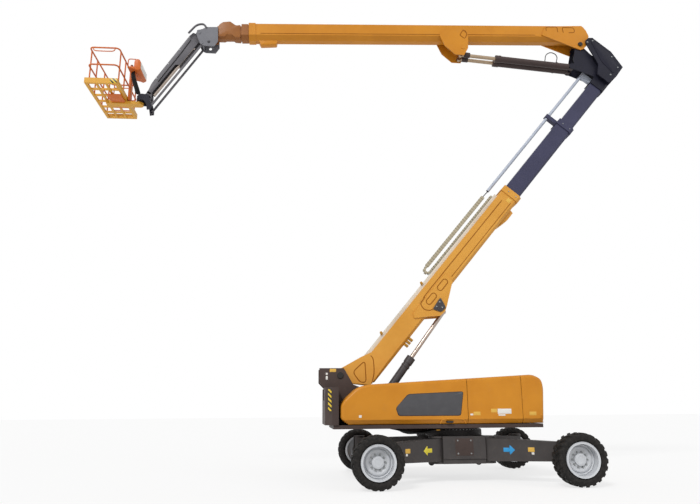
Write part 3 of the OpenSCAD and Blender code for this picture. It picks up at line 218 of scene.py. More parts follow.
finishes = {
    "orange": enamel("polyurethane_enamel_orange", "#C98420", "#BD7818"),
    # Tower base: the hoods' orange drawn paler, as painted sunlight on it
    "tower": enamel("boom_enamel_pale_orange", "#D3983F", "#C98C33"),
    # Mid and fly sections: the same orange darkened to brown, as painted shade
    "shadedOrangeEnd": enamel("boom_enamel_burnt_orange", "#97602E", "#875226", rough=0.42),
    # Pressed lines: the orange darkened, as painted shade in the creases
    "creaseShade": enamel("pressed_line_shade", "#93591B", "#824C15", rough=0.6, dust=0.0, gloss=0.1),
    "red": enamel("powder_coat_red_orange", "#CF6C2C", "#C26126", rough=0.4),
    "floor": enamel("floor_enamel_yellow_orange", "#D8A034", "#CB922C", rough=0.4),
    "chassis": enamel("chassis_enamel_warm_grey", "#484443", "#3C3837", rough=0.5, dust=0.12, gloss=0.18),
    "upright": enamel("chassis_enamel_brown_grey", "#4A3E3A", "#3E3330", rough=0.5, dust=0.08, gloss=0.18),
    "blue": enamel("boom_enamel_slate_blue", "#3E3E56", "#34344A", rough=0.42, dust=0.05, gloss=0.22),
    "head": enamel("boom_enamel_midnight", "#1D1D2A", "#161620", rough=0.45, dust=0.05, gloss=0.18),
    "jib": enamel("jib_enamel_mid_grey", "#68666A", "#58565A", rough=0.42, dust=0.08, gloss=0.2),
    "rim": enamel("wheel_enamel_off_white", "#C6C8CB", "#B2B4B8", rough=0.4, dust=0.12),
    "tipGrey": enamel("zinc_primer_light_grey", "#78787D", "#68686D", rough=0.42, dust=0.06, gloss=0.2),
    "pipe": enamel("hose_tube_enamel_pale_blue", "#B4BAC6", "#A3A9B6", rough=0.4, dust=0.04),
    "tyre": rubber("vulcanised_tyre_rubber", "#191817", "#35312E"),
    "hose": rubber("hydraulic_hose_rubber", "#141415", "#262523", grain=30.0, rough=0.5),
    "chrome": metal("hard_chrome_on_steel", "#BDAFA4", "#A2948A", 0.34),
    # Upper rods: chrome tinted tan, as a painted reflection of the orange boom
    "chromeOrangeReflection": metal("hard_chrome_warm_tint", "#B8A48C", "#9C8870", 0.34),
    "zinc": metal("zinc_plated_steel", "#A0A2A2", "#868888", 0.36),
    "tray": enamel("galvanised_tray", "#DDD8CC", "#CBC4B6", rough=0.45, dust=0.06),
    "chain": plastic("moulded_nylon_chain", "#B7AC92", "#8F866F"),
    "panel": plastic("smoked_acrylic", "#4A494C", "#39393C", rough=0.16),
    "seam": plastic("shadow_gap_rubber", "#1A1714", "#120F0D", rough=0.7),
    "label": plastic("white_vinyl_label", "#E4E2DC", "#D6D3CB", rough=0.4),
    "amber": plastic("amber_vinyl_label", "#DDB04A", "#CFA03C", rough=0.4),
    "yellow": plastic("yellow_vinyl", "#DCCB3C", "#CFBD30", rough=0.4),
    "sky": plastic("blue_vinyl", "#2A97D2", "#1F86C0", rough=0.4),
    "stripe": tape("black_yellow_tape", "#DCBB33", "#1B1A18", 55.0, 1.0),
    "brown": enamel("cylinder_enamel_umber", "#463A38", "#3A302E", rough=0.4, dust=0.06, gloss=0.2),
    "barrel": enamel("cylinder_enamel_graphite", "#4A4748", "#3D3A3C", rough=0.4, dust=0.06, gloss=0.2),
    "brass": metal("yellow_passivated_steel", "#B98A3E", "#94692C", 0.35),
    "engine": enamel("engine_casting_paint", "#34343C", "#2A2A30", rough=0.55, gloss=0.15),
}
print("materials made:", len(finishes))

# Starts of the names of the nodes that each finish goes on
# tower_base takes the orange drawn paler as painted sunlight
nodeFinish = {"orange": ("hood_", "upper_base"), "tower": ("tower_base",),
              # upper_mid and upper_fly take the orange darkened as painted shade
              "shadedOrangeEnd": ("upper_mid", "upper_fly"),
              "floor": ("platform_floor",), "red": ("platform_rails", "control_console", "platform_gate"),
              "chassis": ("chassis_frame", "axle_arm_", "knuckle_"),
              "upright": ("turntable_frame", "counterweight"),
              "blue": ("tower_mid", "tower_fly"), "head": ("tower_head", "platform_bracket"),
              "barrel": ("tower_barrel",), "brown": ("upper_barrels",), "jib": ("jib_arm", "jib_link"),
              "rim": ("rim_",), "tyre": ("tyre_",), "tipGrey": ("tip_bracket",), "pipe": ("hose_tube",),
              # upper_rods take chrome tinted as a painted reflection of the orange boom
              "chrome": ("tower_rod", "jib_rod"), "chromeOrangeReflection": ("upper_rods",), "tray": ("hose_tray",),
              "chain": ("hose_chain",), "engine": ("engine_block",)}
for finish, starts in nodeFinish.items():
    for name, thing in nodes.items():
        if name.startswith(starts):
            thing.data.materials.clear()
            thing.data.materials.append(finishes[finish])


# Surfaces
# A grid of points, or several copies of one, becomes a closed mesh whose faces point outwards.
def skin(name, points, finish, body, wrapU=False, wrapV=False, sharp=35.0):
    grid = np.asarray(points, float)
    grid = grid.reshape((-1,) + grid.shape[-3:])
    copies, m, n = grid.shape[:3]
    i, j = np.arange(m if wrapU else m - 1)[:, None], np.arange(n if wrapV else n - 1)[None, :]
    i1, j1 = (i + 1) % m, (j + 1) % n
    ring = np.broadcast_arrays(i * n + j, i1 * n + j, i1 * n + j1, i * n + j1)
    quads = np.stack(ring, -1).reshape(-1, 4)
    local = (grid - grid.mean((1, 2), keepdims=True)).reshape(copies, -1, 3)[:, quads]
    halves = np.cross(local[:, :, 1], local[:, :, 2]) + np.cross(local[:, :, 2], local[:, :, 3])
    insideOut = np.einsum("cqi,cqi->c", local[:, :, 0], halves)[:, None, None] < 0
    firsts = np.arange(copies)[:, None, None] * m * n
    faces = (firsts + np.where(insideOut, quads[:, ::-1], quads)).reshape(-1, 4)
    mesh = bpy.data.meshes.new(name)
    mesh.from_pydata(grid.reshape(-1, 3).tolist(), [], faces.tolist())
    work = bmesh.new()
    work.from_mesh(mesh)
    bmesh.ops.remove_doubles(work, verts=work.verts, dist=2e-5)
    bmesh.ops.dissolve_degenerate(work, edges=work.edges, dist=1e-6)
    work.to_mesh(mesh)
    work.free()
    mesh.polygons.foreach_set("use_smooth", np.ones(len(mesh.polygons), bool))
    mesh.set_sharp_from_angle(angle=np.radians(sharp))
    mesh.materials.append(finishes[finish])
    made = bpy.data.objects.new(name, mesh)
    bpy.context.scene.collection.objects.link(made)
    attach(made, body)
    return made


# Distance along a path at each of its points
def runLength(path):
    return np.concatenate([[0], np.cumsum(np.linalg.norm(np.diff(path, axis=0), axis=1))])


# A quadratic curve at each corner, from its start to its end
def bends(start, corner, end, steps):
    s = np.linspace(0, 1, steps)[None, :, None]
    curve = (1 - s) ** 2 * start[:, None] + 2 * s * (1 - s) * corner[:, None] + s ** 2 * end[:, None]
    return curve.reshape(-1, 2)


# A closed outline with its corners rounded, from r before each to r after it
def softened(outline, r, steps=4):
    p = np.asarray(outline, float)
    before, after = np.roll(p, 1, 0) - p, np.roll(p, -1, 0) - p
    lb, la = np.linalg.norm(before, axis=1)[:, None], np.linalg.norm(after, axis=1)[:, None]
    start = p + before / lb * np.minimum(r, lb * 0.45)
    end = p + after / la * np.minimum(r, la * 0.45)
    return bends(start, p, end, steps)


# An outline carried through a thickness: centre, inset ring, rounded lip, straight edge, and back to the
# centre
def slab(outline, t0, t1, lip, plane):
    p = np.asarray(outline, float)
    along = np.roll(p, -1, 0) - np.roll(p, 1, 0)
    outward = np.stack([along[:, 1], -along[:, 0]], 1) / (np.linalg.norm(along, axis=1)[:, None] + 1e-12)
    x, y = p[:, 0], p[:, 1]
    outward *= np.sign(np.sum(x * np.roll(y, -1) - np.roll(x, -1) * y))
    a = np.radians([0, 45, 90])
    inset = np.concatenate([lip * (1 - np.sin(a)), lip * (1 - np.sin(a[::-1]))])
    way = np.sign(t1 - t0)
    depth = np.concatenate([t0 + way * lip * (1 - np.cos(a)), t1 - way * lip * (1 - np.cos(a[::-1]))])
    rings = p[None] - outward[None] * inset[:, None, None]
    centre = np.broadcast_to(p.mean(0), (1,) + p.shape)
    rings = np.concatenate([centre, rings, centre])
    depth = np.concatenate([[t0], depth, [t1]])[:, None]
    return plane(rings[..., 0], rings[..., 1], np.broadcast_to(depth, rings.shape[:2]))


# A profile of (along, radius) turned round an axis
def turned(profile, centre, axis, sides=32):
    q = np.asarray(profile, float)
    axis = np.asarray(axis, float) / np.linalg.norm(axis)
    ref = np.eye(3)[np.argmin(np.abs(axis))]
    e1 = np.cross(axis, ref) / np.linalg.norm(np.cross(axis, ref))
    e2 = np.cross(axis, e1)
    a = np.linspace(0, 2 * np.pi, sides, endpoint=False)[:, None, None]
    ring = np.cos(a) * e1 + np.sin(a) * e2
    return np.asarray(centre, float) + q[None, :, :1] * axis + q[None, :, 1:] * ring


# A curve through given points, each span a cubic blend of its four nearest
def through(points, steps=8):
    p = np.asarray(points, float)
    q = np.concatenate([2 * p[:1] - p[1:2], p, 2 * p[-1:] - p[-2:-1]])
    s = np.linspace(0, 1, steps, endpoint=False)[None, :, None]
    a, b, c, d = q[:-3, None], q[1:-2, None], q[2:-1, None], q[3:, None]
    path = 0.5 * (2 * b + (c - a) * s + (2 * a - 5 * b + 4 * c - d) * s ** 2
                  + (3 * b - a - 3 * c + d) * s ** 3)
    return np.concatenate([path.reshape(-1, 3), p[-1:]])


# A circle carried along a path, closed at both ends
def piped(path, radius, sides=10):
    p = np.asarray(path, float)
    p = np.concatenate([p[:1], p, p[-1:]])
    way = np.gradient(p, axis=0)
    way /= np.linalg.norm(way, axis=1)[:, None] + 1e-12
    ref = np.eye(3)[np.argmin(np.abs(way).mean(0))]
    n1 = np.cross(way, ref)
    n1 /= np.linalg.norm(n1, axis=1)[:, None] + 1e-12
    n2 = np.cross(way, n1)
    r = np.full(len(p), radius)
    r[[0, -1]] = 0.0
    a = np.linspace(0, 2 * np.pi, sides, endpoint=False)[None, :, None]
    return p[:, None] + r[:, None, None] * (np.cos(a) * n1[:, None] + np.sin(a) * n2[:, None])


# Hexagon-headed bolts: a washer and a chamfered head, one copy per centre
def bolts(centres, axis, r, h):
    profile = [(0, 0), (0, 1.45 * r), (0.22 * h, 1.4 * r), (0.22 * h, 1.08 * r),
               (0.92 * h, 1.05 * r), (h, 0.85 * r), (h, 0)]
    head = turned(profile, (0, 0, 0), axis, 6)
    return head[None] + np.asarray(centres, float).reshape(-1, 1, 1, 3)


def circle(r, count):
    a = np.linspace(0, 2 * np.pi, count, endpoint=False)
    return np.stack([r * np.cos(a), r * np.sin(a)], 1)


def rectangle(x0, x1, z0, z1):
    return np.array([(x0, z0), (x1, z0), (x1, z1), (x0, z1)])


# An outline with two straight sides and round ends
def capsule(a0, a1, b, half, steps=10):
    turn = np.linspace(-np.pi / 2, np.pi / 2, steps)
    first = np.stack([a1 - half + half * np.cos(turn), b + half * np.sin(turn)], 1)
    return np.concatenate([first, np.stack([a0 + half - half * np.cos(turn), b - half * np.sin(turn)], 1)])


# A flat strip along a drawn line: a rectangle carried along it and closed at both ends
def strip(path, width, t0, t1, plane):
    p = np.concatenate([path[:1], path, path[-1:]])
    way = np.gradient(p, axis=0)
    way /= np.linalg.norm(way, axis=1)[:, None] + 1e-12
    half = np.full((len(p), 1), width / 2)
    t = np.tile([t0, t1, t1, t0], (len(p), 1))
    half[[0, -1]], t[[0, -1]] = 0.0, (t0 + t1) / 2
    reach = half * np.array([[-1, -1, 1, 1]])
    return plane(p[:, :1] - way[:, 1:] * reach, p[:, 1:] + way[:, :1] * reach, t)


# Points of a drawing at one depth
def drawn(points, plane, t):
    p = np.asarray(points, float)
    return plane(p[:, 0], p[:, 1], t)


# A plate is one slab, plates are a mirrored pair in one piece, and plate pairs are one piece a side
flanks = {"near": -1, "far": 1}


def plate(name, outline, t0, t1, lip, plane, finish, body):
    return skin(name, slab(outline, t0, t1, lip, plane), finish, body, wrapV=True)


def plates(name, outline, t0, t1, lip, plane, finish, body):
    pair = np.stack([slab(outline, sign * t0, sign * t1, lip, plane) for sign in flanks.values()])
    return skin(name, pair, finish, body, wrapV=True)


def platePairs(name, outline, t0, t1, lip, plane, finish, body):
    for side, sign in flanks.items():
        plate(name + "_" + side, outline, sign * t0, sign * t1, lip, plane, finish, body)


# A blank label is a thin rectangle with round corners
def sticker(name, box, r, t0, t1, plane, finish, body):
    plate(name, softened(rectangle(*box), r), t0, t1, 0.0005, plane, finish, body)


# A tube follows a smooth curve through drawn points, and tubes are a mirrored pair in one piece
def tube(name, points, plane, t, r, finish, body, steps=6, sides=8):
    skin(name, piped(through(drawn(points, plane, t), steps), r, sides), finish, body, wrapV=True)


def tubes(name, points, plane, t, r, finish, body, steps=6, sides=8):
    paths = [through(drawn(points, plane, sign * t), steps) for sign in flanks.values()]
    skin(name, np.stack([piped(path, r, sides) for path in paths]), finish, body, wrapV=True)


def lathe(name, profile, centres, axis, sides, finish, body, closed=True):
    copies = np.stack([turned(profile, centre, axis, sides) for centre in centres])
    skin(name, copies, finish, body, wrapU=True, wrapV=closed)


def boltPairs(name, spots, plane, t, r, h, finish, body):
    for side, sign in flanks.items():
        heads = bolts(drawn(spots, plane, sign * t), (0, sign, 0), r, h)
        skin(name + "_" + side, heads, finish, body, wrapU=True)


def capPairs(name, profile, plane, a, b, t, body):
    for side, sign in flanks.items():
        lathe(name + "_" + side, profile, [plane(a, b, sign * t)], (0, sign, 0), 32, "seam", body)


# Pressed lines are drawn as strips of painted shade in a darker orange, just proud of the plate
def line(name, points, plane, face, body, width=0.024, steps=4, closed=False):
    p = np.asarray(points, float)
    p = np.concatenate([p, p[:1]]) if closed else p
    path = through(np.concatenate([p, 0 * p[:, :1]], 1), steps)[:, :2]
    pair = [strip(path, width, sign * (face - 0.003), sign * (face + 0.0025), plane)
            for sign in flanks.values()]
    skin(name, np.stack(pair), "creaseShade", body, wrapV=True)


# Tyres: radius over the section from bead to bead, and slanting lugs that rise from the tread
# and wrap its shoulders
tyre = {"x": 2.26, "y": 2.31, "radius": 0.5775, "width": 0.445, "bead": 0.386, "inner": 0.36, "depth": 0.03,
        "lugs": 22, "lugHalf": 0.29, "lugEdge": 0.045, "slant": 0.55, "stagger": 0.25, "root": 0.47,
        "flare": 0.006, "around": 528, "across": 56}


def makeTyres():
    w, top = tyre["width"] / 2, tyre["radius"] - tyre["depth"]
    section = np.array([[-0.150, tyre["bead"]], [-0.178, tyre["bead"] + 0.012], [-w + 0.012, 0.425],
                        [-w, 0.47],
                        [-w + 0.004, 0.505], [-w + 0.022, top - 0.016], [-w + 0.055, top - 0.002],
                        [-0.1, top], [0, top]])
    section = np.concatenate([section, (section * [-1, 1])[-2::-1]])
    section = through(np.concatenate([section, np.zeros((len(section), 1))], 1), 8)[:, :2]
    length = runLength(section)
    s = np.interp(np.linspace(0, length[-1], tyre["across"]), length, np.arange(len(section)))
    y = np.interp(s, np.arange(len(section)), section[:, 0])
    r = np.interp(s, np.arange(len(section)), section[:, 1])
    turn = np.linspace(0, 2 * np.pi, tyre["around"], endpoint=False)[:, None]
    side = np.sign(y)
    phase = (turn * tyre["lugs"] / (2 * np.pi) + tyre["slant"] * np.abs(y) / w + tyre["stagger"] * side) % 1.0
    rise = np.clip((tyre["lugHalf"] - np.abs(phase - 0.5)) / tyre["lugEdge"], 0, 1)
    rise = rise * np.clip((r - 0.475) / 0.03, 0, 1) * np.clip((np.abs(y) - 0.006) / 0.012, 0, 1)
    reach = r + tyre["depth"] * rise * np.clip((r - tyre["root"]) / (top - tyre["root"]), 0, 1)
    out = np.clip(y + side * tyre["flare"] * rise * (np.abs(y) > w - 0.03), -w, w)
    ring = np.stack([reach * np.cos(turn), out, reach * np.sin(turn)], -1)
    inner = tyre["inner"] * np.stack([np.cos(turn), 0 * turn, np.sin(turn)], -1)
    ring = np.concatenate([ring, inner], 1)
    for key, (sx, sy) in corners.items():
        place = [sx * tyre["x"] + slewX, sy * tyre["y"], tyre["radius"]]
        made = skin("tread_" + key, ring * [1, sy, 1] + place, "tyre", "wheel_" + key,
                    wrapU=True, wrapV=True, sharp=40.0)
        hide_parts("tyre_" + key)


makeTyres()
print("tyres made")

# Hoods: the side outline carried across the roof, rounded over the outer edge and let down the side
# to a tucked-in hem
hood = {
    "outer": 1.2, "inner": 0.42, "lip": 0.07, "low": 1.343, "tuckFrom": 1.45, "tuck": 0.09, "wall": 0.03,
    "splits": (0.087, 1.438), "gap": 0.006, "spacing": 0.028, "hingeR": 0.012, "hingeY": 0.408,
    "hingeFrom": -2.2,
    "outline": [(-2.79, 1.343), (-2.911, 1.42), (-2.981, 1.478), (-2.981, 1.8), (-2.885, 1.938),
                (-2.57, 2.216), (-2.33, 2.275), (1.763, 2.5), (1.981, 2.385), (2.013, 2.169), (1.952, 1.343)],
    "rounding": [0.0, 0.03, 0.05, 0.12, 0.1, 0.14, 0.25, 0.12, 0.12, 0.12, 0.0],
}


# The outline with its corners rounded, as points spread evenly
def hoodPath():
    p = np.array(hood["outline"])
    corner = p[1:-1]
    before, after = p[:-2] - corner, p[2:] - corner
    lb, la = np.linalg.norm(before, axis=1)[:, None], np.linalg.norm(after, axis=1)[:, None]
    r = np.minimum(np.array(hood["rounding"])[1:-1, None], 0.45 * np.minimum(lb, la))
    curves = bends(corner + before / lb * r, corner, corner + after / la * r, 7)
    path = np.concatenate([p[:1], curves, p[-1:]])
    length = runLength(path)
    fine = np.linspace(0, length[-1], int(length[-1] / hood["spacing"]))
    return np.stack([np.interp(fine, length, path[:, 0]), np.interp(fine, length, path[:, 1])], 1)


# Each piece is one sheet: across the roof, round the outer edge, then down straight lines to the hem
def hoodSheet(piece):
    outer, inner, low, tuckFrom = hood["outer"], hood["inner"], hood["low"], hood["tuckFrom"]
    a = np.linspace(0, np.pi / 2, 7)
    way = np.gradient(piece, axis=0)
    inward = np.stack([way[:, 1], -way[:, 0]], 1) / (np.linalg.norm(way, axis=1)[:, None] + 1e-12)
    lip = np.minimum(hood["lip"], np.maximum(piece[:, 1] - low, 0) * 0.5)[:, None]
    flat = np.linspace(inner, outer - hood["lip"], 8)[:-1]
    acrossY = np.concatenate([flat, outer - hood["lip"] * (1 - np.sin(a))])
    inset = np.concatenate([np.zeros((len(piece), len(flat))), lip * (1 - np.cos(a))], 1)
    top = point(piece[:, None, 0] + inward[:, None, 0] * inset, acrossY,
                piece[:, None, 1] + inward[:, None, 1] * inset)
    edgeX, edgeZ = top[:, -1, 0][:, None], np.maximum(top[:, -1, 2], low + 1e-4)[:, None]
    run = runLength(piece)[:, None]
    hemX = piece[0, 0] + (piece[-1, 0] - piece[0, 0]) * run / run[-1]
    crease = np.clip((edgeZ - tuckFrom) / (edgeZ - low), 0, 1)
    fall = np.concatenate([crease * np.linspace(0, 1, 12)[None, 1:],
                           crease + (1 - crease) * np.linspace(0, 1, 6)[None, 1:]], 1)
    side = point(edgeX + (hemX - edgeX) * fall, outer, edgeZ + (low - edgeZ) * fall)
    sheet = np.concatenate([top, side], 1)
    tuck = hood["tuck"] * np.clip((tuckFrom - sheet[..., 2]) / (tuckFrom - low), 0, 1)
    sheet[..., 1] -= tuck * (sheet[..., 1] - inner) / (outer - inner)
    return sheet + [slewX, 0, 0]


def makeHoods():
    path = hoodPath()
    roof = path[:int(np.argmax(path[:, 1])) + 1]
    (first, second), gap = hood["splits"], hood["gap"]
    cuts = {"rear": (-np.inf, first - gap), "mid": (first + gap, second - gap),
            "front": (second + gap, np.inf)}

    def onRoof(x, sunk=0.0):
        return [[x, np.interp(x, roof[:, 0], roof[:, 1]) - sunk]] if np.isfinite(x) else np.empty((0, 2))

    for label, (x0, x1) in cuts.items():
        piece = path[(path[:, 0] > x0) & (path[:, 0] < x1)]
        sheet = hoodSheet(np.concatenate([onRoof(x0), piece, onRoof(x1)]))
        for where, sign in flanks.items():
            body = "turntable" if label == "front" else "door_" + label + "_" + where
            made = skin("hood_shell_" + label + "_" + where, sheet * [1, sign, 1], "orange", body, sharp=40.0)
            wall = made.modifiers.new("wall", "SOLIDIFY")
            wall.thickness, wall.offset = hood["wall"], -1.0
            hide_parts("hood_" + label + "_" + where)
            if label != "front":
                ends = np.concatenate([onRoof(x, hood["hingeR"]) for x in (max(x0, hood["hingeFrom"]), x1)])
                hinge = piped(drawn(ends, onSide, sign * hood["hingeY"]), hood["hingeR"], 10)
                skin("hood_hinge_" + label + "_" + where, hinge, "orange", body, wrapV=True)


makeHoods()
print("hoods made")

# Things on the hoods, on both sides: dark panel in a rubber frame, catch under an arched hem, blank labels
hoodTrim = {
    "panel": [(-1.657, 1.736), (-1.347, 2.034), (-0.014, 2.09), (-0.104, 1.541), (-1.602, 1.544)],
    "frame": 0.012,
    "arch": [(-0.608, 1.352), (-0.503, 1.45), (-0.074, 1.45), (0.02, 1.352)],
    "catch": (-0.45, -0.28, 1.36, 1.41),
    "labels": [("amber", (0.22, 0.388, 1.535, 1.62), "mid"), ("label", (0.139, 0.21, 1.535, 1.575), "mid"),
               ("amber", (0.653, 0.80, 1.60, 1.685), "mid"), ("label", (0.815, 1.154, 1.565, 1.685), "mid"),
               ("label", (0.83, 1.0, 1.52, 1.555), "mid"), ("amber", (1.599, 1.772, 1.525, 1.61), "front"),
               ("label", (-2.555, -2.49, 1.50, 1.56), "rear")],
}


def makeHoodTrim():
    pane = softened(hoodTrim["panel"], 0.06, 5)
    frameLine = pane + hoodTrim["frame"] * np.sign(pane - pane.mean(0))
    x0, x1, z0, z1 = hoodTrim["catch"]
    catch = softened([(x0, z0), (x0, z1), (x1, z1), (x1, z0)], 0.02)
    for where, sign in flanks.items():
        bodies = {"rear": "door_rear_" + where, "mid": "door_mid_" + where, "front": "turntable"}
        rear = bodies["rear"]

        def out(proud):
            return sign * (hood["outer"] + proud)

        plate("panel_frame_" + where, frameLine, out(-0.004), out(0.003), 0.002, onSide, "seam", rear)
        plate("smoked_panel_" + where, pane, out(-0.004), out(0.008), 0.004, onSide, "panel", rear)
        tube("hem_arch_" + where, hoodTrim["arch"], onSide, out(-0.006), 0.011, "orange", rear)
        plate("catch_" + where, catch, out(-0.05), out(0.006), 0.008, onSide, "seam", rear)
        for k, (finish, box, part) in enumerate(hoodTrim["labels"]):
            sticker("blank_label_%s_%d" % (where, k), box, 0.01, out(-0.002), out(0.0015), onSide, finish,
                    bodies[part])


makeHoodTrim()

# Wheels: a stepped dish that ends in a domed hub, a ring of studs and a rolled lip over each disc
wheel = {
    "pinY": 1.86, "disc": 0.436, "boltCircle": 0.168, "studs": 10, "studOut": 0.011, "studR": 0.017,
    "studH": 0.03,
    "dish": [(-0.004, 0.345), (0.012, 0.335), (0.020, 0.322), (0.012, 0.306), (-0.002, 0.298), (0.004, 0.286),
             (0.024, 0.272), (0.03, 0.255), (0.026, 0.222), (0.012, 0.205), (0.010, 0.14), (0.030, 0.136),
             (0.052, 0.128), (0.062, 0.11), (0.064, 0.06), (0.058, 0.05), (0.058, 0.0), (-0.002, 0.0),
             (-0.006, 0.345)],
    "lip": [(0.0, 0.338), (0.012, 0.384), (0.02, 0.387), (0.026, 0.384), (0.022, 0.372), (0.008, 0.35),
            (-0.01, 0.338)],
    "lipOut": 0.196,
}


def makeWheelTrim():
    ring = circle(wheel["boltCircle"], wheel["studs"])
    for key, (sx, sy) in corners.items():
        body = "wheel_" + key
        hub = np.array([sx * tyre["x"] + slewX, sy * (wheel["pinY"] + wheel["disc"]), tyre["radius"]])
        axis = np.array([0.0, sy, 0.0])
        lathe("wheel_dish_" + key, wheel["dish"], [hub], axis, 64, "rim", body)
        centres = hub + point(ring[:, 0], sy * wheel["studOut"], ring[:, 1])
        skin("wheel_studs_" + key, bolts(centres, axis, wheel["studR"], wheel["studH"]), "zinc", body,
             wrapU=True)
        lathe("wheel_lip_" + key, wheel["lip"], [hub + axis * wheel["lipOut"]], axis, 64, "rim", body)


makeWheelTrim()
print("wheel trim made")

# Axle arms: plain arrows and blank labels on the outer faces
arms = {
    "pivot": (0.62, 0.78), "length": 1.9636, "turn": np.radians(33.366), "half": (0.18, 0.13),
    "arrowZ": 0.735,
    "arrow": [(-0.16, 0.0), (-0.02, 0.13), (-0.02, 0.055), (0.16, 0.055), (0.16, -0.055), (-0.02, -0.055),
              (-0.02, -0.13)],
    "arrowSize": 0.85, "rear": ("yellow", 0.476), "front": ("sky", 0.59),
    "labels": [("arm_label_", (1.03, 1.18, 0.70, 0.80), 0.01, "amber"),
               ("arm_label_small_", (1.11, 1.17, 0.64, 0.69), 0.008, "label")],
}


def onArm(sx, sy):
    c, s = np.cos(arms["turn"]), np.sin(arms["turn"])

    def plane(a, b, t):
        half = arms["half"][0] + (arms["half"][1] - arms["half"][0]) * a / arms["length"]
        x = arms["pivot"][0] + a * c - (half + t) * s
        y = arms["pivot"][1] + a * s + (half + t) * c
        return point(sx * x + slewX, sy * y, b)
    return plane


def makeArmMarks():
    arrow = arms["arrowSize"] * np.array(arms["arrow"])
    for key, (sx, sy) in corners.items():
        plane, body = onArm(sx, sy), "arm_" + key
        finish, at = arms["rear"] if sx < 0 else arms["front"]
        mark = arrow * [-1, 1] + [at, arms["arrowZ"]]
        plate("arrow_mark_" + key, mark, -0.002, 0.0015, 0.0004, plane, finish, body)
        for name, box, r, finish in arms["labels"]:
            sticker(name + key, box, r, -0.002, 0.0015, plane, finish, body)


makeArmMarks()

# Chassis: side covers with their bolts, and the bolts of the slewing ring
chassis = {"cover": (-0.22, 0.22, 0.60, 1.0), "face": 1.02, "proud": 1.028, "ringR": 0.675, "ringZ": 1.1795,
           "ringBolts": 48, "coverBolts": [(-0.16, 0.65), (-0.16, 0.95), (0.16, 0.65), (0.16, 0.95)]}


def makeChassisTrim():
    cover = softened(rectangle(*chassis["cover"]), 0.02)
    platePairs("cover_plate", cover, chassis["face"], chassis["proud"], 0.003, onSide, "upright", "chassis")
    boltPairs("cover_bolts", chassis["coverBolts"], onSide, chassis["proud"], 0.015, 0.014, "zinc", "chassis")
    ring = drawn(circle(chassis["ringR"], chassis["ringBolts"]), onFloor, chassis["ringZ"])
    skin("ring_bolts", bolts(ring, (0, 0, 1), 0.013, 0.022), "zinc", "chassis", wrapU=True)


makeChassisTrim()
print("chassis trim made")

# Tower: pressed lines and capsules, pin plates, collar studs, the bracket under it, clips and lock valves
towerTrim = {
    "face": 0.23, "gussetFace": 0.26, "footFace": 0.27, "under": -0.262,
    "seam": [(3.06, 0.0), (3.02, 0.075), (3.12, 0.11), (4.4, 0.105), (5.6, 0.1), (6.62, 0.095)],
    "lowLine": [(3.95, -0.13), (4.6, -0.135), (5.8, -0.14), (6.72, -0.145)],
    "capsules": [(2.93, 3.28), (3.42, 3.78)], "capsuleB": -0.075, "capsuleHalf": 0.075,
    "gussetEdge": [(2.98, -0.32), (2.82, -0.22), (2.76, -0.08), (2.82, 0.06), (2.98, 0.075)],
    "pinPlate": [(3.29, -0.235), (3.17, -0.52), (2.99, -0.50), (2.90, -0.27)], "pinOut": (0.258, 0.284),
    "pinBolts": [(3.17, -0.30), (3.02, -0.31), (3.1, -0.44)],
    "footLoop": [(0.70, 0.27), (0.30, -0.10), (0.20, 0.02), (0.28, 0.33)],
    "footEdge": [(0.90, 0.235), (0.86, 0.12), (0.62, -0.10), (0.36, -0.235)],
    "bracket": [(6.61, -0.262), (6.585, -0.376), (6.3, -0.376), (5.975, -0.30), (5.917, -0.262)],
    "bracketHalf": 0.11, "label": (6.69, 6.81, -0.12, 0.0),
    "studs": [("base", 6.955, 0.256, "tower_base"), ("mid", 9.745, 0.228, "tower_mid")],
    "studB": (-0.15, 0.1),
    "clip": [(-0.05, 0.0), (0.03, 0.0), (0.05, 0.07), (0.0, 0.09), (-0.03, 0.05)], "clipsAt": (1.55, 3.3),
    "clipB": 0.345, "valve": (0.07, 0.12), "valveAt": 1.68, "valvePitch": 0.095,
}


def makeTowerTrim():
    t, body = towerTrim, "tower_base"
    line("tower_seam", t["seam"], onTower, t["face"], body)
    line("tower_low_line", t["lowLine"], onTower, t["face"], body, width=0.018)
    for k, (a0, a1) in enumerate(t["capsules"]):
        ring = capsule(a0, a1, t["capsuleB"], t["capsuleHalf"])
        line("gusset_capsule_%d" % k, ring, onTower, t["gussetFace"], body, steps=2, closed=True)
    line("gusset_edge", t["gussetEdge"], onTower, t["gussetFace"], body)
    plates("rod_pin_plate", softened(t["pinPlate"], 0.05), *t["pinOut"], 0.006, onTower, "barrel", body)
    boltPairs("rod_pin_bolts", t["pinBolts"], onTower, t["pinOut"][1], 0.016, 0.018, "zinc", body)
    line("foot_loop", softened(t["footLoop"], 0.10, 6), onTower, t["footFace"], body, steps=2, closed=True)
    line("foot_edge", t["footEdge"], onTower, t["footFace"], body)
    # The bracket under the tower is in the tower base's orange, drawn paler as painted sunlight
    plate("tower_under_bracket", softened(t["bracket"], 0.02), -t["bracketHalf"], t["bracketHalf"], 0.01,
          onTower, "tower", body)
    plates("tower_label", softened(rectangle(*t["label"]), 0.01), 0.228, 0.232, 0.0005, onTower, "amber",
           body)
    for label, a, half, carrier in t["studs"]:
        boltPairs("collar_studs_" + label, [(a, b) for b in t["studB"]], onTower, half, 0.013, 0.014, "zinc",
                  carrier)
    clip = softened(t["clip"], 0.012)
    clips = [slab(clip + [a, t["clipB"]], -0.135, -0.095, 0.006, onTower) for a in t["clipsAt"]]
    skin("tray_clips", np.stack(clips), "brass", body, wrapV=True)
    width, depth = t["valve"]
    block = np.array([(0, 0), (width, 0), (width, -depth), (0, -depth)])
    valves = [slab(softened(block + [t["valveAt"] + t["valvePitch"] * k, t["under"]], 0.012),
                   -0.20 - 0.01 * k, -0.13, 0.008, onTower) for k in range(3)]
    skin("lock_valves", np.stack(valves), "brass", body, wrapV=True)


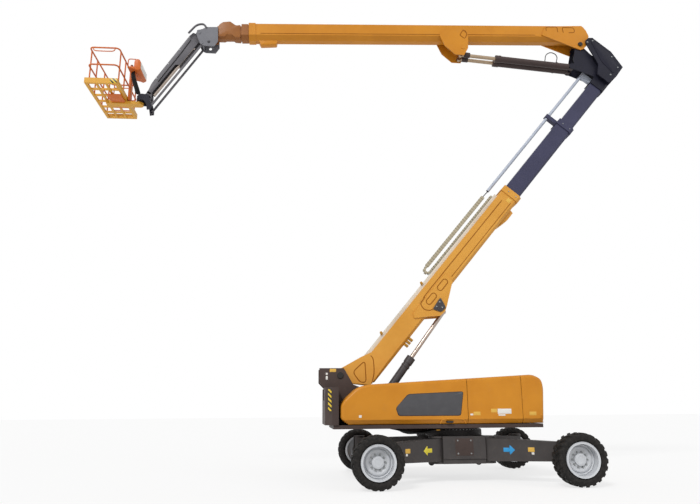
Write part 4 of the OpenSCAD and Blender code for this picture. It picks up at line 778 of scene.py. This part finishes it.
makeTowerTrim()

# Turntable: foot pin caps, tape on the counterweight's edge, blank labels and bolts on the upright
deck = {
    "cap": [(0, 0.082), (0.02, 0.082), (0.03, 0.072), (0.03, 0.0), (-0.02, 0.0), (-0.02, 0.082)],
    "pin": (-2.941, 2.533, 0.39), "tape": (-3.285, -3.205, 1.66, 2.17), "tapeOut": (1.148, 1.1515),
    "label": (-3.21, -3.05, 2.62, 2.70), "labelOut": (0.388, 0.392),
    "marks": [(-3.31, -3.26, 2.43, 2.52), (-3.31, -3.26, 2.55, 2.60)],
    "bolts": [(-2.8, 1.5), (-2.5, 1.5), (-2.2, 1.5)], "boltOut": 0.389,
}


def makeTurntableTrim():
    capPairs("foot_pin_cap", deck["cap"], onSide, *deck["pin"], "turntable")
    platePairs("edge_tape", rectangle(*deck["tape"]), *deck["tapeOut"], 0.0005, onSide, "stripe", "turntable")
    label = softened(rectangle(*deck["label"]), 0.01)
    platePairs("upright_label", label, *deck["labelOut"], 0.0005, onSide, "amber", "turntable")
    for side, sign in flanks.items():
        t0, t1 = sign * np.array(deck["labelOut"])
        marks = [slab(softened(rectangle(*box), 0.006), t0, t1, 0.0005, onSide) for box in deck["marks"]]
        skin("upright_marks_" + side, np.stack(marks), "label", "turntable", wrapV=True)
    boltPairs("upright_bolts", deck["bolts"], onSide, deck["boltOut"], 0.016, 0.018, "chassis", "turntable")


# Hoses sag under the deck beside the slewing ring, with plated fittings at their ends and a guard in front.
# Each hose starts, sags and strays a little differently, by its place in the row.
deckHoses = {"count": 7, "firstY": -0.98, "pitch": 0.07, "r": 0.017, "stray": 0.02, "end": (-0.66, 1.198),
             "guardHalf": 0.48, "guard": [(-1.62, 1.243), (-1.12, 1.095), (-0.78, 1.095), (-0.78, 1.243)],
             "fitting": [(0, 0), (0, 0.02), (0.05, 0.02), (0.05, 0.016), (0.09, 0.016), (0.09, 0)]}


def makeDeckHoses():
    half = deckHoses["guardHalf"]
    plate("deck_guard", softened(deckHoses["guard"], 0.02), -half, half, 0.006, onSide, "upright",
          "turntable")
    endX, endZ = deckHoses["end"]
    paths, ends = [], []
    for k in range(deckHoses["count"]):
        y = deckHoses["firstY"] + deckHoses["pitch"] * k
        x = np.array([-1.72 + 0.06 * (k % 3), -1.35, -1.02, -0.62])
        z = np.array([1.235, 1.165 - 0.02 * (k % 3), 1.14 - 0.012 * (k % 2), 1.2])
        stray = deckHoses["stray"] * np.sin(np.arange(4) + k)
        paths.append(piped(through(onFloor(x, y + stray, z), 8), deckHoses["r"], 8))
        ends.append(onFloor(endX, y + stray[-1], endZ))
    skin("deck_hoses", np.stack(paths), "hose", "turntable", wrapV=True)
    lathe("deck_fittings", deckHoses["fitting"], ends, (1, 0, 0), 6, "brass", "turntable", closed=False)


makeTurntableTrim()
makeDeckHoses()
print("tower and turntable trim made")

# Upper boom: bend line, open frames on the foot and lug, hood of the fly's tip, pin caps, box under the
# front,
# and studs and a stiffener on the head plates
upperTrim = {
    "face": 0.21, "footFace": 0.24,
    "bendLine": [(1.35, 0.33), (4.0, 0.33), (7.0, 0.33), (9.62, 0.33)],
    "footRear": [(0.47, 0.40), (0.47, 0.57), (0.30, 0.575), (0.14, 0.56), (0.125, 0.42), (0.3, 0.40)],
    "footFront": [(1.0, 0.46), (0.98, 0.58), (0.80, 0.59), (0.66, 0.58), (0.645, 0.42)],
    "lug": [(3.69, 0.30), (3.60, 0.44), (3.54, 0.455), (3.48, 0.34), (3.56, 0.19)],
    "tip": [(10.868, 0.26), (10.868, 0.55), (10.80, 0.66), (10.706, 0.728), (10.5, 0.75), (10.337, 0.62),
            (10.2, 0.635),
            (10.2, 0.23), (10.37, 0.24), (10.45, 0.32), (10.595, 0.33), (10.655, 0.255)], "tipHalf": 0.166,
    "cap": [(0, 0.066), (0.022, 0.066), (0.03, 0.056), (0.03, 0.0), (-0.01, 0.0), (-0.01, 0.066)],
    "capOut": 0.2545,
    "studs": [(4.764, 12.471), (4.6, 12.42), (5.3, 11.95), (5.45, 11.6), (5.2, 11.35)], "studOut": 0.325,
    "stiffener": [(4.70, 12.45), (4.80, 12.47), (5.23, 12.08), (5.46, 11.62), (5.28, 11.40), (5.10, 11.62),
                  (4.98, 11.75)],
    "box": [(9.12, 0.21), (9.16, 0.05), (9.62, 0.03), (9.70, 0.21)], "boxHalf": 0.1,
}


def makeUpperTrim():
    t, body = upperTrim, "upper_base"
    line("upper_bend_line", t["bendLine"], onUpper, t["face"], body, width=0.02)
    line("foot_frame_rear", t["footRear"], onUpper, t["footFace"], body, steps=3)
    line("foot_frame_front", t["footFront"], onUpper, t["footFace"], body, steps=3)
    line("lug_frame", t["lug"], onUpper, t["footFace"], body, steps=3, closed=True)
    # The fly's tip hood is in the orange darkened to brown as painted shade
    plate("fly_tip_hood", softened(t["tip"], 0.03), -t["tipHalf"], t["tipHalf"], 0.01, onUpper, "shadedOrangeEnd",
          "upper_fly")
    capPairs("upper_pin_cap", t["cap"], onUpper, 0.0, 0.0, t["capOut"], "tower_fly")
    boltPairs("head_studs", t["studs"], onSide, t["studOut"], 0.018, 0.016, "zinc", "tower_fly")
    plates("head_stiffener", softened(t["stiffener"], 0.04), 0.322, 0.336, 0.005, onSide, "head", "tower_fly")
    plate("upper_under_box", softened(t["box"], 0.03), -t["boxHalf"], t["boxHalf"], 0.015, onUpper, "orange",
          body)


makeUpperTrim()


# Lift cylinders: clamp bands round the barrels, a steel pipe between the upper pair, rod end sleeves and a
# hose loop.
# A cylinder's drawing starts at its lower pin and runs along it.
def alongRod(x, z, turn, way):
    c, s = np.cos(turn), np.sin(turn)

    def plane(a, b, t):
        return point(x + slewX + way * (a * c - b * s), t, z + a * s + b * c)
    return plane


cylinders = {
    "tower": alongRod(-2.15, 1.53, np.radians(53.1), 1), "upper": alongRod(4.11, 11.67, np.radians(5.05), -1),
    "towerBand": [(0, 0.104), (0, 0.116), (0.05, 0.116), (0.05, 0.104)], "towerBandAt": 1.55,
    "upperBand": [(0, 0.091), (0, 0.102), (0.045, 0.102), (0.045, 0.091)], "upperBandsAt": (0.45, 2.2),
    "apart": 0.12,
    "pipe": [(0.2, 0.02), (0.3, 0.03), (1.2, 0.03), (2.1, 0.03), (2.25, 0.02)],
    "sleeve": [(3.12, 0.053), (3.13, 0.078), (3.29, 0.08), (3.31, 0.07), (3.31, 0.053)],
    "loop": [(0.5, 0.06), (0.5, 0.2), (0.58, 0.30), (0.72, 0.32), (0.84, 0.22), (0.85, 0.06)],
    "loopY": [-0.20, -0.255, -0.262, -0.262, -0.255, -0.20],
}


def makeCylinderTrim():
    t, plane = cylinders, cylinders["tower"]
    axis = plane(1.0, 0.0, 0.0) - plane(0.0, 0.0, 0.0)
    lathe("tower_bands", t["towerBand"], [plane(t["towerBandAt"], 0.0, 0.0)], axis, 40, "barrel",
          "tower_barrel")
    plane, pair = t["upper"], (-t["apart"], t["apart"])
    axis = plane(1.0, 0.0, 0.0) - plane(0.0, 0.0, 0.0)
    places = [plane(a, 0.0, y) for a in t["upperBandsAt"] for y in pair]
    lathe("upper_bands", t["upperBand"], places, axis, 32, "brown", "upper_barrels")
    tube("upper_pipe", t["pipe"], plane, 0.0, 0.013, "zinc", "upper_barrels")
    lathe("rod_sleeves", t["sleeve"], [plane(0.0, 0.0, y) for y in pair], axis, 32, "brown", "upper_rods")
    tube("upper_hose_loop", t["loop"], plane, np.array(t["loopY"]), 0.013, "hose", "upper_barrels", steps=10,
         sides=10)


makeCylinderTrim()
print("boom and cylinder trim made")

# Hose chain: open links along a run, a half-round bend and a run back; each link is two side plates and two
# crossbars.
# The hose tube runs inside the straight upper links, so those are taller.
links = {
    "pitch": 0.085, "start": 6.44, "bendAt": 3.73, "backTo": 6.6, "high": 0.56, "low": 0.392, "half": 0.072,
    "side": 0.014, "barB": 0.0295, "tall": 1.75, "tallUntil": 0.09,
    "cell": [(-0.5, -0.03), (0.38, -0.03), (0.5, 0.0), (0.38, 0.03), (-0.5, 0.03), (-0.4, 0.0)],
    "bar": [(-0.1, -0.005), (0.1, -0.005), (0.1, 0.005), (-0.1, 0.005)],
    "hoses": [(6.70, 0.545), (6.55, 0.56), (6.40, 0.56)], "hoseY": (-0.03, 0.0, 0.03),
}


def makeChain():
    r, half = (links["high"] - links["low"]) / 2, links["half"]
    runOut, arc, runBack = links["start"] - links["bendAt"], np.pi * r, links["backTo"] - links["bendAt"]
    at = np.arange(links["pitch"] / 2, runOut + arc + runBack, links["pitch"])
    turn = np.clip((at - runOut) / r, 0, np.pi)
    bend, back = links["bendAt"] - r * np.sin(turn), links["bendAt"] + at - runOut - arc
    a = np.where(at < runOut, links["start"] - at, np.where(at < runOut + arc, bend, back))
    b = (links["high"] + links["low"]) / 2 + r * np.cos(turn)
    way = np.stack([-np.cos(turn), -np.sin(turn)], 1)
    up = np.stack([way[:, 1], -way[:, 0]], 1)
    cell = softened(np.array(links["cell"]) * [links["pitch"], 1.0], 0.012, 3)
    bar = softened(np.array(links["bar"]) * [links["pitch"], 1.0], 0.002, 2)
    tall = np.where(at < runOut - links["tallUntil"], links["tall"], 1.0)[:, None]

    def stacked(shape, lift, y0, y1, lip):
        q = shape[None, :, 1] * (tall if lift == 0 else 1.0) + lift * tall
        qa = a[:, None] + shape[None, :, 0] * way[:, :1] + q * up[:, :1]
        qb = b[:, None] + shape[None, :, 0] * way[:, 1:] + q * up[:, 1:]
        return np.stack([slab(outline, y0, y1, lip, onTower) for outline in np.stack([qa, qb], -1)])

    cheeks = [stacked(cell, 0.0, sign * (half - links["side"]), sign * half, 0.003)
              for sign in flanks.values()]
    made = skin("chain_links", np.concatenate(cheeks), "chain", "hose_chain", wrapV=True)
    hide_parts("hose_chain")
    bars = [stacked(bar, z, -half + 0.012, half - 0.012, 0.001) for z in (-links["barB"], links["barB"])]
    skin("chain_bars", np.concatenate(bars), "chain", "hose_chain", wrapV=True)
    hoses = [piped(through(drawn(links["hoses"], onTower, y), 6), 0.012, 8) for y in links["hoseY"]]
    skin("chain_hoses", np.stack(hoses), "hose", "tower_fly", wrapV=True)


makeChain()
print("chain made")

# Jib: two plates deepest behind the head and cut away below over the cylinder, end plates, rings at the pins,
# a cover on top, a hose guide loop above the head, a hose along each side and bolts of the cover
jibTrim = {
    "plate": [(0.055, -0.12), (1.12, -0.12), (1.2, -0.012), (2.36, -0.012), (2.36, 0.112), (2.26, 0.12),
              (2.08, 0.165), (1.94, 0.178), (0.2, 0.215), (0.07, 0.19), (0.055, 0.12)],
    "end": [(2.3, -0.03), (2.4, -0.10), (2.444, -0.10), (2.444, 0.10), (2.3, 0.114)], "plateY": (0.09, 0.11),
    "rings": [("head", 0.0, 0.12), ("end", jib["length"], 0.108)], "bore": 0.042, "boss": 0.085,
    "bossY": 0.13,
    "cover": [(0.11, 0.185), (0.2, 0.202), (1.94, 0.165), (2.08, 0.152), (2.26, 0.108)], "coverT": 0.02,
    "coverY": 0.092,
    "cylinder": [(1.15, 0.034), (1.15, 0.055), (1.19, 0.055), (1.2, 0.046), (2.3, 0.046), (2.3, 0.034)],
    "cylinderB": -0.062,
    "loop": [(-7.29, 12.29), (-7.20, 12.41), (-7.10, 12.53), (-6.99, 12.59), (-6.87, 12.59), (-6.78, 12.48)],
    "loopY": 0.196,
    "hose": [(0.3, 0.10), (0.9, 0.07), (1.5, 0.06), (1.9, 0.05)], "hoseY": 0.117,
    "bolts": [(0.28, 0.18), (0.75, 0.17), (1.3, 0.155), (1.85, 0.14)], "boltY": 0.109,
}


def makeJibTrim():
    t, body = jibTrim, "jib_arm"
    inner, outer = t["plateY"]
    made = plates("jib_plates", t["plate"], inner, outer, 0.004, onJib, "jib", body)
    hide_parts("jib_arm")
    plates("jib_end_plates", t["end"], inner, outer, 0.004, onJib, "jib", body)
    for label, a, r in t["rings"]:
        rising = [(-t["bossY"], t["bore"]), (-t["bossY"], t["boss"]), (-outer, t["boss"]), (-outer, r),
                  (-inner, r), (-inner, t["boss"])]
        ring = rising + [(-y, radius) for y, radius in rising[::-1]]
        lathe("jib_boss_" + label, ring, [onJib(a, 0.0, 0.0)], (0, 1, 0), 48, "jib", body)
    cover = strip(np.array(t["cover"]), t["coverT"], -t["coverY"], t["coverY"], onJib)
    skin("jib_cover", cover, "jib", body, wrapV=True)
    axis = onJib(1.0, 0.0, 0.0) - onJib(0.0, 0.0, 0.0)
    lathe("jib_cylinder", t["cylinder"], [onJib(0.0, t["cylinderB"], 0.0)], axis, 32, "chrome", body)
    tubes("tip_loop", t["loop"], onSide, t["loopY"], 0.03, "jib", "tip_bracket")
    tubes("jib_hose", t["hose"], onJib, t["hoseY"], 0.011, "hose", body)
    boltPairs("jib_bolts", t["bolts"], onJib, t["boltY"], 0.012, 0.012, "zinc", body)


makeJibTrim()

# Platform: tape on the toe board, drop bar, console with tray, guard, mast, white back sheet, sticks and
# switches, hoses that sag from it in a bundle, and the plate under the floor that carries it all
basket = {
    "tape": (-9.092, -8.902, 10.145, 10.28), "tapeY": (-1.049, -1.0525), "half": 0.36,
    "drop": [(-9.62, 11.21), (-9.58, 11.13), (-9.45, 11.115), (-9.2, 11.115), (-9.08, 11.13), (-9.03, 11.21)],
    "dropY": -1.005,
    "desk": [(-8.70, 11.25), (-8.66, 11.30), (-8.57, 11.30), (-8.53, 11.23), (-8.515, 11.0), (-8.6, 10.95),
             (-8.70, 10.99)],
    "tray": [(-8.88, 11.065), (-8.69, 11.065), (-8.69, 10.99), (-8.88, 11.03)],
    "guard": [(-8.87, 11.04), (-8.87, 11.22), (-8.86, 11.28), (-8.82, 11.30), (-8.66, 11.295)],
    "guardY": 0.34,
    "mast": (-8.89, -8.812, -0.07, 0.07), "mastZ": (10.17, 11.29),
    "back": (-0.33, 0.33, 11.02, 11.21), "backX": (-8.526, -8.517),
    "stick": [(0, 0.028), (0.012, 0.028), (0.02, 0.012), (0.08, 0.010), (0.09, 0.018), (0.13, 0.02),
              (0.14, 0.0), (0, 0.0)],
    "stickX": -8.79, "stickY": (-0.2, 0.2), "stickZ": 11.06,
    "knob": [(0, 0.02), (0.02, 0.018), (0.022, 0.0)], "knobX": -8.81, "knobPitch": 0.05,
    "knobY": (-0.09, -0.03, 0.03, 0.09), "knobZ": 11.062,
    "hoseX": [-8.76, -8.73, -8.68, -8.62, -8.59], "hoseY": [-0.16, -0.2, -0.17, -0.12, -0.06],
    "hoseZ": [11.0, 10.84, 10.66, 10.48, 10.35], "hosePitch": 0.02, "hoseR": 0.016,
    "carrier": (-9.3, -8.93, -0.56, 0.22), "carrierZ": (10.072, 10.094),
}


def acrossBack(a, b, t):
    return onSide(t, b, a)


def makePlatformTrim():
    t, body, half = basket, "platform", basket["half"]
    plate("toe_tape", rectangle(*t["tape"]), *t["tapeY"], 0.0005, onSide, "stripe", body)
    tube("drop_bar", t["drop"], onSide, t["dropY"], 0.014, "red", body, sides=10)
    made = plate("console_body", softened(t["desk"], 0.03, 5), -half, half, 0.015, onSide, "red", body)
    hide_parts("control_console")
    plate("console_tray", softened(t["tray"], 0.01), -half, half, 0.006, onSide, "red", body)
    tubes("console_guard", t["guard"], onSide, t["guardY"], 0.014, "red", body)
    plate("console_mast", softened(rectangle(*t["mast"]), 0.03), *t["mastZ"], 0.02, onFloor, "red", body)
    plate("console_back", softened(rectangle(*t["back"]), 0.03), *t["backX"], 0.002, acrossBack, "label",
          body)
    sticks = [onFloor(t["stickX"], y, t["stickZ"]) for y in t["stickY"]]
    lathe("console_sticks", t["stick"], sticks, (-0.1, 0, 1), 16, "seam", body, closed=False)
    knobs = [onFloor(t["knobX"] + t["knobPitch"] * k, y, t["knobZ"]) for k in (0, 1) for y in t["knobY"]]
    lathe("console_switches", t["knob"], knobs, (0, 0, 1), 12, "label", body, closed=False)
    x, y, z = np.array(t["hoseX"]), np.array(t["hoseY"]), np.array(t["hoseZ"])
    sway = np.linspace(-1, 1, len(x))
    bundle = [through(onFloor(x + t["hosePitch"] * k, y + t["hosePitch"] * sway * k, z), 8)
              for k in range(-3, 3)]
    skin("console_hoses", np.stack([piped(path, t["hoseR"], 8) for path in bundle]), "hose", body, wrapV=True)
    plate("carrier_plate", softened(rectangle(*t["carrier"]), 0.04), *t["carrierZ"], 0.004, onFloor, "red",
          body)


makePlatformTrim()
print("platform trim made")

# Studio: a pale floor that keeps the shadow, a white surround and a soft grey sky for the light
studio = {"floor": "#F4F3F1", "glow": 0.72, "sky": 0.5, "reach": 150.0,
          "lamps": [("key", 1.75, (48, 0, -32), 14), ("fill", 0.5, (62, 0, 48), 40)]}


# Rays that see the surround: from the camera, off metal and through glass
def seenRays(tree):
    path = add(tree, "LightPath").outputs
    shiny = maths(tree, "MAXIMUM", path["Is Glossy Ray"], path["Is Transmission Ray"])
    return maths(tree, "MAXIMUM", path["Is Camera Ray"], shiny)


def makeStudio():
    white = {"Color": (1.0, 1.0, 1.0, 1.0), "Strength": 1.0}
    made, tree, shader, _ = blank("studio_floor_paint")
    feed(tree, shader, {"Base Color": linear(studio["floor"]), "Roughness": 0.9})
    share = maths(tree, "MULTIPLY", seenRays(tree), studio["glow"])
    pale = add(tree, "MixShader",
               {0: share, 1: shader.outputs[0], 2: add(tree, "Emission", white).outputs[0]})
    feed(tree, tree.nodes["Material Output"], {"Surface": pale.outputs[0]})
    mesh = bpy.data.meshes.new("studio_floor")
    r = studio["reach"]
    mesh.from_pydata([(-r, -r, 0), (r, -r, 0), (r, r, 0), (-r, r, 0)], [], [(0, 1, 2, 3)])
    mesh.materials.append(made)
    ground = bpy.data.objects.new("studio_floor", mesh)
    bpy.context.scene.collection.objects.link(ground)
    world = bpy.data.worlds.new("studio")
    world.use_nodes = True
    bpy.context.scene.world = world
    tree = world.node_tree
    sky = tree.nodes["Background"]
    feed(tree, sky, {"Color": (0.95, 0.97, 1.0, 1.0), "Strength": studio["sky"]})
    surround = add(tree, "Background", white)
    seen = add(tree, "MixShader", {0: seenRays(tree), 1: sky.outputs[0], 2: surround.outputs[0]})
    feed(tree, tree.nodes["World Output"], {"Surface": seen.outputs[0]})
    for name, power, turn, soft in studio["lamps"]:
        lamp = bpy.data.lights.new(name, "SUN")
        lamp.energy, lamp.angle = power, np.radians(soft)
        lampObject = bpy.data.objects.new(name, lamp)
        lampObject.rotation_euler = np.radians(turn)
        bpy.context.scene.collection.objects.link(lampObject)
    bpy.context.scene.view_settings.view_transform = "Standard"


makeStudio()

print("scene ready")
